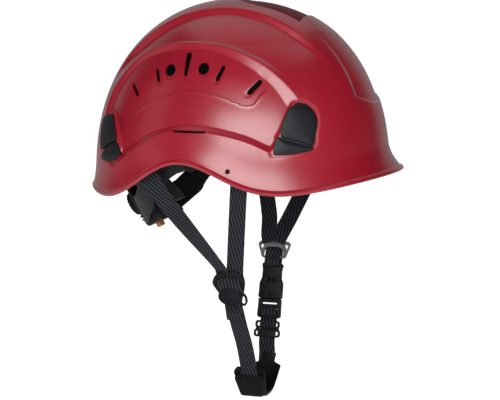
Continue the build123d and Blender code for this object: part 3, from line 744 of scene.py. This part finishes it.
LEAN = radians(17.2)
BUCKLE_X, BUCKLE_OUT = (0, 1, 0), (cos(LEAN), 0, -sin(LEAN))
DIVIDER = Frame((-58, -9, -91), (0, -1, 0), (-1, 0, -0.2))
BUCKLE = Frame((58, -15, -76), BUCKLE_X, BUCKLE_OUT)
TONGUE = Frame(BUCKLE.at(0, 1.5), BUCKLE_X, BUCKLE_OUT)
GLIDE = Frame(BUCKLE.at(0, 2.2), BUCKLE_X, BUCKLE_OUT)


def spots_on(plane, spots):
    """Points given in a plane's own directions; those of two numbers lie at its x = 0."""
    return [plane.at(*spot) if len(spot) == 3 else plane.at(0, *spot) for spot in spots]


# ---- side straps ----
RIGHT_FRONT = [(-99, -31, 32), (-98, -29.5, 14), (-84, -23.5, -16)]
RIGHT_REAR = [(-85, 57, 30), (-88.5, 54, 12), (-86.5, 35.8, -16)]
LEFT_FRONT = [(98, -48, 28), (95, -46, 6), (86, -39, -15), (72, -27, -45)]
LEFT_REAR = [(92, 46, 30), (89, 26, 8), (82, 4, -12), (72, -6, -42)]
right_front = webbing(RIGHT_FRONT + spots_on(DIVIDER, [(5.6, 21, 0.6), (4.4, 12, -2.4)]),
                      [(0.1, 1, 0), (0.1, 1, 0), (0.05, 1, 0), (0, 1, 0), (0, 1, 0)], 14.6)
right_rear = webbing(RIGHT_REAR + spots_on(DIVIDER, [(-9.8, 24, 2), (-5, 11, -3.6)]),
                     [(0, 1, -0.3), (0, 1, -0.35), (0.2, 1, -0.75), (0.8, 0.8, -0.5), (0.5, 1, -0.2)], 16.2)
left_front = webbing(LEFT_FRONT + spots_on(BUCKLE, [(-5, 15, -0.4), (-2.5, 7.4, -2.5)]),
                     [(0, 1, 0.45), (0, 1, 0.45), (0, 1, 0.42), (0, 1, 0.4), (0, 1, 0.3), (0, 1, 0.1)])
left_rear = webbing(LEFT_REAR + spots_on(BUCKLE, [(6, 16, -1.4), (3.4, 7.4, -4)]),
                    [(0, 1, -1.2), (0, 1, -1.1), (0, 1, -0.35), (0, 1, -0.1), (0, 1, 0), (0, 1, 0)])
place(join([right_front, right_rear]), "side_straps_right", "helmet", "webbing", "side_strap_right")
place(join([left_front, left_rear]), "side_straps_left", "helmet", "webbing", "side_strap_left")

# ---- strap divider on the right ----
DIVIDER_SIDE = [(-16, 6), (-13.2, 12.8), (-6, 18), (5, 18.4), (11.8, 14.6), (13.6, 7),
                (11.4, -3.5), (8, -12.5), (-3.5, -12.5)]
DIVIDER_WINDOW = [(-11.6, 6.5), (-8.6, 10.6), (-1, 13.2), (6.6, 11.8), (10, 7.5), (9.4, 3),
                  (5, 0.5), (-7, 0.5)]
DISC_X, DISC_Y = 0.4, -4.6
KEEPER_SIDE = [(8, -1), (11, -1.6), (14.2, -4.4), (14.8, -10.4), (12.2, -14), (7.6, -12.4)]
KEEPER_HOLE = [(10.6, -4), (12.4, -5.4), (12.9, -10.2), (11.2, -12), (9.6, -11.2)]


def disc(radius, low, high, bevel):
    """A slightly oval disc on the divider."""
    outline = [(DISC_X + 1.2 * x, DISC_Y + 0.92 * y) for x, y in circle(radius, count=56)]
    return plate(DIVIDER, outline, low, high, bevel)


window = rounded(DIVIDER_WINDOW, 2.5)
body = plate(DIVIDER, rounded(DIVIDER_SIDE, 3.5), -2, 2.2, 1.3, [window])
discs = [disc(8.6, 1.2, 5, 1.3), disc(6.4, 4.6, 5.4, 0.35)]
place(join([body] + discs), "divider", "chin", "black_plastic", "strap_divider")
keeper = plate(DIVIDER, rounded(KEEPER_SIDE, 2), -1.1, 1.1, 0.5, [rounded(KEEPER_HOLE, 0.8)])
place(keeper, "keeper", "chin", "black_plastic", "strap_keeper")

# ---- strap ring and loop on the left ----
RING_SIDE = [(-15.6, 6), (-13.5, 8.4), (-6, 8.8), (6, 8.8), (13.5, 8.4), (15.6, 6), (11.2, -7.2),
             (-11.2, -7.2)]
RING_CORNER = [(-13.2, 4.6), (-9.8, 5.6), (-11.5, 0.4)]
LOOP_SIDE = [(-15, -2.6), (-7, -3.6), (-2.2, -3.2), (1.2, -1.8), (2.5, 0), (1.2, 1.8), (-2.2, 3.2),
             (-7, 3.6), (-15, 2.6)]


def arch(wide, tall, count=22):
    """Half of a squarish ellipse standing on the foot of the ring's opening."""
    return [(wide * np.sign(cos(a)) * abs(cos(a)) ** 0.6, -5.4 + tall * sin(a) ** 0.6)
            for a in np.linspace(0, pi, count)]


holes = [arch(9.4, 8.6), rounded(RING_CORNER, 0.9), rounded([(-x, y) for x, y in RING_CORNER[::-1]], 0.9)]
ring = plate(BUCKLE, rounded(RING_SIDE, 2.4), -1.5, 1.5, 0.8, holes, M_GREY)
bar_side = [(11, -6.6)] + arch(11, 12.4) + [(-11, -6.6)]
bar = plate(BUCKLE, bar_side, -3.4, -0.6, 0.9, [arch(9.2, 8.4)], M_GREY)
place(join([ring, bar]), "ring", "helmet", "grey_plastic", "strap_ring")
loop = webbing(spots_on(BUCKLE, LOOP_SIDE), width=14.8)
fold_side = [(-13.4, -3.6), (-10.5, -4.9), (-7.6, -4.6)]
fold = webbing(spots_on(BUCKLE, fold_side), width=14.4, rib=0.1)
place(join([loop, fold]), "loop", "helmet", "webbing", "buckle_loop")

# ---- side-release buckle and slotted adjuster ----
SOCKET_SIDE = [(7.6, 11.6), (9.4, 13.2), (8.3, 18.5), (8.5, 26), (10.4, 30), (10.5, 44.4)]
TONGUE_SIDE = [(10.4, 46.1), (10.7, 58), (10.9, 62.2), (9.2, 63.8)]
PRONG_SIDE = [(5.1, 46.4), (7.3, 46.4), (7.2, 34), (8, 31.5), (7.9, 26.5), (6.6, 24.2), (5, 24.4),
              (4.6, 28), (5.1, 34)]
RAIL_WIDE = 1.5             # width of a rail
WING_RIM = 2.2              # rim of a wing beside its opening; it is 0.2 less above and below


def down(points, radius):
    """A rounded outline from (half width, distance down), mirrored to both sides."""
    right = [(x, -s) for x, s in points]
    return rounded(right + [(-x, y) for x, y in right[::-1]], radius)


def strip(half, s_from, s_to, radius):
    """A rounded straight strip across the buckle's middle line."""
    return down([(half, s_from), (half, s_to)], radius)


def build_socket():
    """The female half: two plates held apart by a head and rails."""
    side, slot_hole = down(SOCKET_SIDE, 1.6), down([(6.8, 13.4), (6.8, 15.6)], 0.7)
    mark = rounded([(-2.9, -29.6), (2.9, -29.6), (2.9, -25.8), (-2.9, -25.8)], 0.5)
    pieces = [plate(BUCKLE, side, 2.6, 4.3, 0.7, [slot_hole]),
              plate(BUCKLE, side, -4.3, -2.6, 0.7, [slot_hole, mark, circle(0.9, 0, -40.5, 16)]),
              plate(BUCKLE, down([(7, 16.4), (7.6, 21.5)], 0.8), -2.7, 2.7, 0.3)]
    for side in (-1, 1):
        for wide, s_from, s_to in ((7.9, 16.6, 22.4), (10.1, 35.4, 44.2)):
            out, into = side * wide, side * (wide - RAIL_WIDE)
            rail = rounded([(out, -s_from), (into, -s_from), (into, -s_to), (out, -s_to)], 0.4)
            pieces.append(plate(BUCKLE, rail, -2.8, 2.8, 0.25))
    pieces.append(plate(BUCKLE, strip(10.5, 41.4, 42.8, 0.5), -4.9, -4, 0.35))
    return join(pieces)


def build_tongue():
    """The male half without its prongs."""
    slots = [strip(7.2, 49.6, 51.2, 0.6), strip(7.9, 54.6, 61.8, 0.8)]
    return join([
        plate(TONGUE, down(TONGUE_SIDE, 1.5), -3.2, 3.2, 1, slots),
        plate(TONGUE, strip(8.2, 56.2, 58.2, 0.5), -0.4, 1.6, 0.8),
        plate(TONGUE, strip(1.2, 22, 47.2, 0.4), -1.4, 1.4, 0.3),
        plate(TONGUE, strip(10.5, 46.4, 47.6, 0.5), -3.9, -2.8, 0.4)])


def build_adjuster():
    """Two open wings, the slotted bar between them and the plate that the tail lies on."""
    pieces = []
    for wide, s_from, s_to in ((11.6, 67, 74.2), (12.4, 74.8, 82.2)):
        opening = strip(wide - WING_RIM, s_from + 2, s_to - 2, 1.4)
        pieces.append(plate(GLIDE, strip(wide, s_from, s_to, 3), -3.1, -0.9, 0.8, [opening]))
    slot_ = strip(8.3, 73.9, 74.9, 0.2)
    pieces.append(plate(GLIDE, strip(10.2, 73, 75.8, 1), -4.8, 2.9, 0.9, [slot_]))
    pieces.append(plate(GLIDE, strip(8.6, 75.5, 82, 1), -3.7, -2, 0.6))
    return join(pieces)


place(build_socket(), "buckle_socket", "helmet", "black_plastic", "buckle_female")
place(build_tongue(), "buckle_tongue", "chin", "black_plastic", "buckle_male")
for side, word in ((-1, "front"), (1, "rear")):
    arm = rounded([(side * x, -s) for x, s in PRONG_SIDE], 0.7)
    prong = plate(TONGUE, arm, -1.6, 1.6, 0.5)
    place(prong, f"prong_{word}", f"prong_{word}", "black_plastic", f"buckle_prong_{word}")
place(build_adjuster(), "adjuster", "glide", "black_plastic", "tri_glide")

# ---- chin straps ----
left_path = spots_on(TONGUE, [(-54.2, -1.2), (-60, -1.8)]) + spots_on(GLIDE, [(-66, 0.2), (-74, 0)])
left_path += spots_on(BUCKLE, [(-84, 0)]) + [(29.8, -16.2, -165), (25.5, -16.5, -178)]
place(webbing(left_path), "chin_left", "chin", "webbing", "chin_strap_left")
tuck_side = [(-58, 1.4), (-63, 2.6), (-72, 1.9), (-80, 1.7)]
bulge_side = [(-65, -1.2), (-67.5, -3.2), (-71, -4), (-73.6, -2.6)]
tuck = webbing(spots_on(GLIDE, tuck_side), width=14.4)
bulge = webbing(spots_on(GLIDE, bulge_side), width=14)
place(join([tuck, bulge]), "adjuster_webbing", "glide", "webbing")

right_path = spots_on(DIVIDER, [(1.6, -9, 0.9), (3.4, -18, 0.6)])
right_path += [(-49, -13.5, -122), (-39, -15.5, -142), (-31.6, -16.8, -162), (-29.6, -17, -171),
               (-26.6, -17, -178)]
bight_path = spots_on(DIVIDER, [(0, 17, -3.6), (0, 13, -2.2), (0.2, 9, 1.2), (0.6, 4.6, 3.2),
                                (1, -1, 2.6), (1.2, -6, 1.4)])
sewn_path = spots_on(DIVIDER, [(1.8, -10, 2.2), (2.4, -17, 2.1), (3.1, -26, 2)])
chin_right = webbing(right_path)
bight = webbing(bight_path, width=20.4)
sewn = webbing(sewn_path, width=14.6)
place(join([chin_right, bight, sewn]), "chin_strap_right_web", "chin", "webbing", "chin_strap_right")

SEWN = Frame(DIVIDER.at(2.4, -18), (0, -1, 0.1), (-1, 0, -0.35))
STITCH_ROWS, STITCH_COLS, STITCH_PITCH, STITCH_LEVEL = 7, 6, 2.1, 2.75


def sewn_threads():
    """A block of sewn thread, as short raised bars."""
    parts = []
    for row in range(STITCH_ROWS):
        for col in range(STITCH_COLS):
            x = (col - (STITCH_COLS - 1) / 2) * STITCH_PITCH
            y = (row - (STITCH_ROWS - 1) / 2) * STITCH_PITCH * 0.8
            thread = rounded(rectangle(x, y, 1.5, 0.44), 0.2, 3)
            parts.append(plate(SEWN, thread, STITCH_LEVEL, STITCH_LEVEL + 0.35, 0.15, segments=1))
    return join(parts)


place(sewn_threads(), "sewn_threads", "chin", "webbing")

# ---- chin cup ----
CUP_TOP, CUP_BOTTOM, CUP_Y, CUP_THICK = -164, -199, -17, 2.6
CUP_PATH = [(-30.4, -164), (-28.2, -169.5), (-24, -178), (-18.2, -188), (-11, -194.2), (0, -195.2),
            (11, -194.2), (18.2, -188), (23.6, -180), (27.2, -173.5), (29.7, -165)]
FLAP_SIDE = [(-13.6, 6), (-12, 10.2), (12, 10.2), (13.6, 6), (10.2, -13.8), (-10.2, -13.8)]
HEM_SIDE = [(-13, 7.6), (13, 7.6), (12.8, 6.8), (-12.8, 6.8)]


def build_cup():
    """A folded rubber sling: a deep U seen from the front, narrower in depth at its foot."""
    path = smooth_path(CUP_PATH, 8)
    across = np.linspace(-1, 1, 25)
    tangent = np.gradient(path, axis=0)
    tangent /= np.linalg.norm(tangent, axis=1, keepdims=True)
    normal = np.stack([tangent[:, 1], -tangent[:, 0]], -1)
    outer, inner = [], []
    for (x, z), (nx, nz) in zip(path, normal):
        drop = np.clip((z - CUP_BOTTOM) / (CUP_TOP - CUP_BOTTOM), 0, 1)
        half = 10.0 + 5.0 * drop
        half -= 4.5 * ramp(z, -171, -163.5) ** 2 if x < 0 else 7.1 * ramp(z, -175.5, -172.5)
        curl = 2.4 * (1 - drop) * across ** 2 - 1.2 * ramp(z, -182, -166) * across ** 2
        rim = 0.5 * np.exp(-((np.abs(across) - 0.93) / 0.05) ** 2)
        for side, rows in ((1, outer), (-1, inner)):
            off = side * (CUP_THICK / 2 + rim) - curl
            rows.append(np.stack([x + nx * off, CUP_Y + half * across, z + nz * off], -1))
    outer, inner = np.array(outer), np.array(inner)
    rows, cols = outer.shape[:2]
    verts = np.concatenate([outer, inner[:, ::-1]], 1)
    faces = grid_faces(rows, 2 * cols, True)
    n = 2 * cols
    for r in (0, rows - 1):
        for c in range(cols - 1):
            quad = (r * n + c, r * n + c + 1, r * n + n - 2 - c, r * n + n - 1 - c)
            faces.append(quad if r else quad[::-1])
    cup = make_object(verts.reshape(-1, 3), faces, M_RUBBER)
    weld(cup)
    level = cup.modifiers.new("round", "SUBSURF")
    level.levels = 1
    bake(cup)
    return cup


cup = build_cup()
FLAP = Frame((-24.6, CUP_Y, -179.5), (0, -1, 0), (-0.89, 0, -0.46))
flap = plate(FLAP, rounded(FLAP_SIDE, 3), 0.5, 2.9, 1.1, mat=M_RUBBER)
hem = plate(FLAP, rounded(HEM_SIDE, 0.4), 2.6, 3.3, 0.35, mat=M_RUBBER)
place(join([cup, flap, hem]), "chin_cup_rubber", "chin", "soft_rubber", "chin_cup")

# ---- nape adjuster ----
NAPE = Vector((0, 17, 18))
NAPE_TILT = radians(30)
NAPE_AXIS = Vector((0, sin(NAPE_TILT), cos(NAPE_TILT)))
NAPE_BACK = Vector((0, cos(NAPE_TILT), -sin(NAPE_TILT)))


def on_ring(angle, height, radius):
    """Points on the tilted nape ring: angle 0 at the rear, positive to the wearer's left."""
    angle, height, radius = np.broadcast_arrays(angle, height, radius)
    flat = np.sin(angle)[..., None] * np.array((1, 0, 0)) + np.cos(angle)[..., None] * np.array(NAPE_BACK)
    return np.array(NAPE) + flat * radius[..., None] + height[..., None] * np.array(NAPE_AXIS)


def ring_pad(outline, low, high, dome_up, edge=1.4):
    """A rounded pad on the nape ring; the outline is (arc length in mm at the outside, height)."""
    rings = [(edge * (1 - sin(a)), low + edge * (1 - cos(a))) for a in np.linspace(0.2, pi / 2, 4)]
    rings += [(edge * (1 - cos(a)), high - edge * (1 - sin(a))) for a in np.linspace(0, pi / 2, 5)]
    crowns = [(f, high + dome_up * (1 - (1 - f) ** 2)) for f in (0.15, 0.35, 0.6, 0.85, 1)]
    return crowned_pad(outline, rings, crowns,
                       lambda flat, level: on_ring(flat[:, 0] / high, flat[:, 1], level), M_BLACK)


def eased(points, count=60):
    """Columns of a smooth curve through rows of values."""
    line = smooth_path(points, 12)
    pick = np.linspace(0, len(line) - 1, count)
    return [np.interp(pick, np.arange(len(line)), line[:, k]) for k in range(line.shape[1])]


def half_section():
    """One rounded half of a band's section, from its lower edge to its upper edge."""
    return ([(-1, 0), (-0.97, 0.7), (-0.9, 1)] + [(v, 1) for v in np.linspace(-0.8, 0.8, 9)]
            + [(0.9, 1), (0.97, 0.7)])


def ring_sheet(side, path, low, high, mat, bow=0):
    """A curved band round the nape ring; the path is (degrees, middle height, half height)."""
    turn, centre, half = (np.array(values)[:, None] for values in eased(path))
    one_side = half_section()
    v, t = np.array(one_side + [(-x, -y) for x, y in one_side]).T[:, None, :]
    height = centre + half * v
    radius = (low + high) / 2 + (high - low) / 2 * t + bow * (1 - v ** 2)
    verts = on_ring(side * np.radians(turn) + 0 * v, height, radius)
    rows, cols = height.shape
    faces = grid_faces(rows, cols, True) + end_caps(rows, cols)
    obj = make_object(verts.reshape(-1, 3), faces, mat)
    weld(obj)
    return obj


KNOB = Frame(NAPE, (1, 0, 0), NAPE_BACK)
COVER_SIDE = [(-37, 12), (-30, 18), (30, 18), (37, 12), (37, -12), (24, -25), (-24, -25), (-37, -12)]
RIB_SIDE = [(-13, -21.5), (13, -21.5), (11, -18), (-11, -18)]
ARROW_SIDE = [(-2.6, -1.2), (0, 3), (2.6, -1.2)]
LOBES, LOBE_DEPTH, KNOB_R = 18, 0.5, 11.0
# Bands round the ring, as (degrees from the rear, middle height, half height).
NAPE_BAND = [(24, -9.5, 13.6), (30, -9.2, 12.6), (36, -8.3, 11.8), (42, -6.2, 12), (49, -3.6, 12.2),
             (54, 0, 11), (60, 3, 10), (68, 6, 9.4), (79, 7.5, 8.8), (95, 5, 8)]
NAPE_ARM = [(14, 16, 4.4), (24, 17, 4.8), (32, 19.5, 4.6), (38, 18, 5), (45, 14.5, 6), (52, 9, 7)]
RACK_BAND = [(-15, 0, 8.6), (0, 0, 9), (20, -2, 8.5), (29, -6, 7.5)]
RACK_THICK = 1.6
EAR_ANGLE = radians(90)


def build_cover():
    """The housing's cover with the knob's seat and a rib along its foot."""
    cover = ring_pad(rounded(COVER_SIDE, 7), 83.7, 87.9, 0.9)
    boss = plate(KNOB, circle(13.4, count=64), 86.8, 89.3, 0.9, [circle(6.4)])
    rib = plate(KNOB, rounded(RIB_SIDE, 1.2), 86, 88.6, 0.8)
    return join([cover, boss, rib])


def build_knob():
    """The knurled size knob with its ring and a plain arrow."""
    knurl = []
    for a in np.linspace(0, 2 * pi, 18 * LOBES, endpoint=False):
        reach = KNOB_R - LOBE_DEPTH + LOBE_DEPTH * cos(LOBES * a)
        knurl.append((reach * cos(a), reach * sin(a)))
    grip = plate(KNOB, knurl, 89.6, 96.4, 1)
    cap = plate(KNOB, circle(7.6, count=48), 95.9, 97, 0.5, [circle(5.4, count=40)])
    arrow = plate(KNOB, rounded(ARROW_SIDE, 0.6), 96.2, 96.9, 0.25)
    return join([grip, cap, arrow])


place(build_cover(), "cover_shell", "nape_unit", "black_plastic", "nape_cover")
place(build_knob(), "knob_grip", "knob", "black_plastic", "ratchet_knob")
for side, word, inner in ((-1, "right", 81.8), (1, "left", 79.2)):
    band = ring_sheet(side, NAPE_BAND, 84, 86.2, M_CLIP, 0.5)
    arm = ring_sheet(side, NAPE_ARM, 84.2, 86, M_CLIP)
    boss = ring_pad(circle(6.5, side * EAR_ANGLE * 87, 0, 40), 84.2, 87, 0.6)
    place(join([band, arm, boss]), f"nape_band_{word}", "nape_unit", "black_plastic", f"nape_guide_{word}")
    rack = ring_sheet(side, RACK_BAND, inner, inner + RACK_THICK, M_BLACK)
    place(rack, f"rack_{word}", f"rack_{word}", "black_plastic", f"nape_strap_{word}")

# ---- cradle ----
CRADLE_X, CRADLE_Y, CRADLE_FOOT, CRADLE_TOP, CRADLE_STEP = 84, 108, 24, 118, 2.0
CRADLE_INSET = 0.6          # visual straps inside the CAD's
for number, (word, degrees) in enumerate((("front", 40), ("middle", 90), ("rear", 140))):
    angle = radians(degrees)
    reach = ((cos(angle) / CRADLE_X) ** 2 + (sin(angle) / CRADLE_Y) ** 2) ** -0.5 - CRADLE_INSET
    rise = CRADLE_TOP + number * CRADLE_STEP - CRADLE_FOOT - CRADLE_INSET
    path = [(reach * cos(t) * cos(angle), reach * cos(t) * sin(angle), CRADLE_FOOT + rise * sin(t))
            for t in np.linspace(0, pi, 19)]
    strap = webbing(path, (sin(angle), -cos(angle), 0), thick=1.1, rib=0.1, per_span=8)
    place(strap, f"cradle_{word}", "helmet", "webbing", f"cradle_strap_{word}")


def shrink_from(node, factor):
    """A copy of a CAD node's mesh, drawn in towards its own centre."""
    source = frame["nodes"][node]
    mesh = source.data.copy()
    mesh.transform(source.matrix_world)
    obj = link(mesh)
    lo, hi = (Vector(p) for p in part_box(node))
    centre = (lo + hi) / 2
    for v in mesh.vertices:
        v.co = centre + Vector([d * f for d, f in zip(v.co - centre, factor)])
    return obj


CLOTH_MASS, CLOTH_STEPS, CLOTH_PRESSURE = 0.15, 20, 4.0


def inflate(obj, voxel, cap):
    """Remesh a pad, puff it up with cloth pressure, cap its swelling and smooth it once."""
    remesh = obj.modifiers.new("remesh", "REMESH")
    remesh.mode, remesh.voxel_size = "VOXEL", voxel * MM
    bake(obj)
    rest = positions(obj.data)
    cloth = obj.modifiers.new("cloth", "CLOTH")
    cloth.settings.use_pressure = True
    cloth.settings.uniform_pressure_force = CLOTH_PRESSURE
    cloth.settings.effector_weights.gravity = 0
    cloth.settings.mass = CLOTH_MASS
    cloth.point_cache.frame_start, cloth.point_cache.frame_end = 1, CLOTH_STEPS
    for step in range(1, CLOTH_STEPS + 1):
        bpy.context.scene.frame_set(step)
    graph = bpy.context.evaluated_depsgraph_get()
    puffed = bpy.data.meshes.new_from_object(obj.evaluated_get(graph), depsgraph=graph)
    move = positions(puffed) - rest
    far = np.linalg.norm(move, axis=1, keepdims=True)
    move *= np.minimum(1, cap * MM / np.maximum(far, 1e-9))
    obj.modifiers.clear()
    obj.data.vertices.foreach_set("co", (rest + move).ravel())
    bpy.context.scene.frame_set(1)
    level = obj.modifiers.new("smooth", "SUBSURF")
    level.levels = 1
    bake(obj)
    shade(obj.data)
    obj.data.materials.clear()
    obj.data.materials.append(M_CLOTH)
    return obj


for node, body, factor, voxel, cap in (("sweatband", "helmet", (0.985, 0.97, 0.84), 2, 1.6),
                                       ("nape_pad", "nape_unit", (0.52, 0.95, 0.56), 2.4, 2.2),
                                       ("crown_pad", "helmet", (0.94, 0.94, 0.75), 2.6, 2.4)):
    place(inflate(shrink_from(node, factor), voxel, cap), node + "_soft", body, "pad_cloth", node)

# ---- floor, light and camera ----
FLOOR = -0.2035             # metres, like everything in this section
FLOOR_AHEAD, FLOOR_BACK, FLOOR_HALF, SWEEP, WALL_TOP = -4, 3.2, 6, 1.2, 5.0
VIEW_AZ = radians(-73.4)
AWAY = (-sin(VIEW_AZ), cos(VIEW_AZ))


def floor_glow(net):
    """The floor and backdrop read as pure white, but light the object only softly."""
    seen = net.add("LightPath").outputs["Is Camera Ray"]
    net.set("Emission Strength", net.spread(seen, 0.2, 0.95))
    net.set("Emission Color", (1, 1, 1, 1))
    cloud = net.noise(net.coords(), 3, 2)
    net.set("Base Color", net.color_ramp(cloud, [(0.3, (0.86, 0.86, 0.86)), (0.7, (0.89, 0.89, 0.89))]))


def build_floor():
    """A sheet that runs away from the camera and sweeps up into a wall."""
    sweep = [(FLOOR_BACK + SWEEP * sin(a), SWEEP - SWEEP * cos(a)) for a in np.linspace(0, pi / 2, 14)]
    profile = [(FLOOR_AHEAD, 0), (FLOOR_BACK, 0)] + sweep + [(FLOOR_BACK + SWEEP, WALL_TOP)]
    verts = []
    for d, h in profile:
        for s in (-FLOOR_HALF, FLOOR_HALF):
            verts.append((AWAY[0] * d + AWAY[1] * s, AWAY[1] * d - AWAY[0] * s, h + FLOOR))
    glow = material("pale_floor", (0.88, 0.88, 0.88), floor_glow, Roughness=0.95)
    floor = make_object(np.array(verts) / MM, grid_faces(len(profile), 2, False), glow)
    floor.name = "floor"
    return floor


build_floor()

AIM = Vector((0, 0, 0.02))


def soft_box(name, azimuth, height, distance, wide, tall, power):
    """An area light at an azimuth (0 in front, 90 at the wearer's right), aimed at the object."""
    lamp = bpy.data.lights.new(name, "AREA")
    lamp.shape, lamp.size, lamp.size_y, lamp.energy = "RECTANGLE", wide, tall, power
    obj = link(lamp)
    a = radians(azimuth)
    obj.location = Vector((-sin(a) * distance, -cos(a) * distance, height))
    obj.rotation_mode = "QUATERNION"
    obj.rotation_quaternion = (AIM - obj.location).to_track_quat("-Z", "Y")


soft_box("key", 76, 0.40, 1.4, 1.15, 0.62, 16)
soft_box("side", 150, 0.6, 1.8, 0.6, 1.2, 1)
soft_box("top", 253, 1.7, 0.5, 1.8, 1.6, 5)


def studio_world():
    """Even light for matt surfaces; for reflections, bright behind the object and dark by the camera."""
    world = bpy.data.worlds.new("studio")
    bpy.context.scene.world = world
    world.use_nodes = True
    net = Net(world.node_tree, "Background")
    away = net.add("VectorMath", operation="DOT_PRODUCT")
    net.feed(away.inputs[0], net.add("TexCoord").outputs["Generated"])
    net.feed(away.inputs[1], (*AWAY, -0.45))
    mirrored = net.spread(away.outputs["Value"], 0.14, 0.62)
    path = net.add("LightPath").outputs
    lit = net.add("Mix", Factor=path["Is Glossy Ray"], A=0.36, B=mirrored).outputs["Result"]
    net.set("Strength", net.add("Mix", Factor=path["Is Camera Ray"], A=lit, B=19).outputs["Result"])


studio_world()
bpy.context.scene.view_settings.view_transform = "Standard"

# The camera stands 1.25 m away, 17 degrees ahead of the wearer's right side and a little above.
DISTANCE, ELEVATION, TARGET_ACROSS, TARGET_Z = 1.2456, radians(7.9), 0.0086, -0.0222
FOCAL_MM, SENSOR_MM = 102.1, 36.0


def build_camera():
    """The camera on its sphere about the target, looking at it."""
    data = bpy.data.cameras.new("camera")
    cam = link(data)
    back = Vector((-AWAY[0] * cos(ELEVATION), -AWAY[1] * cos(ELEVATION), sin(ELEVATION)))
    target = Vector((AWAY[1] * TARGET_ACROSS, -AWAY[0] * TARGET_ACROSS, TARGET_Z))
    cam.location = target + back * DISTANCE
    cam.rotation_mode = "QUATERNION"
    cam.rotation_quaternion = (-back).to_track_quat("-Z", "Y")
    data.sensor_width, data.lens = SENSOR_MM, FOCAL_MM
    data.clip_start, data.clip_end = 0.01, 50
    return cam


bpy.context.scene.camera = build_camera()
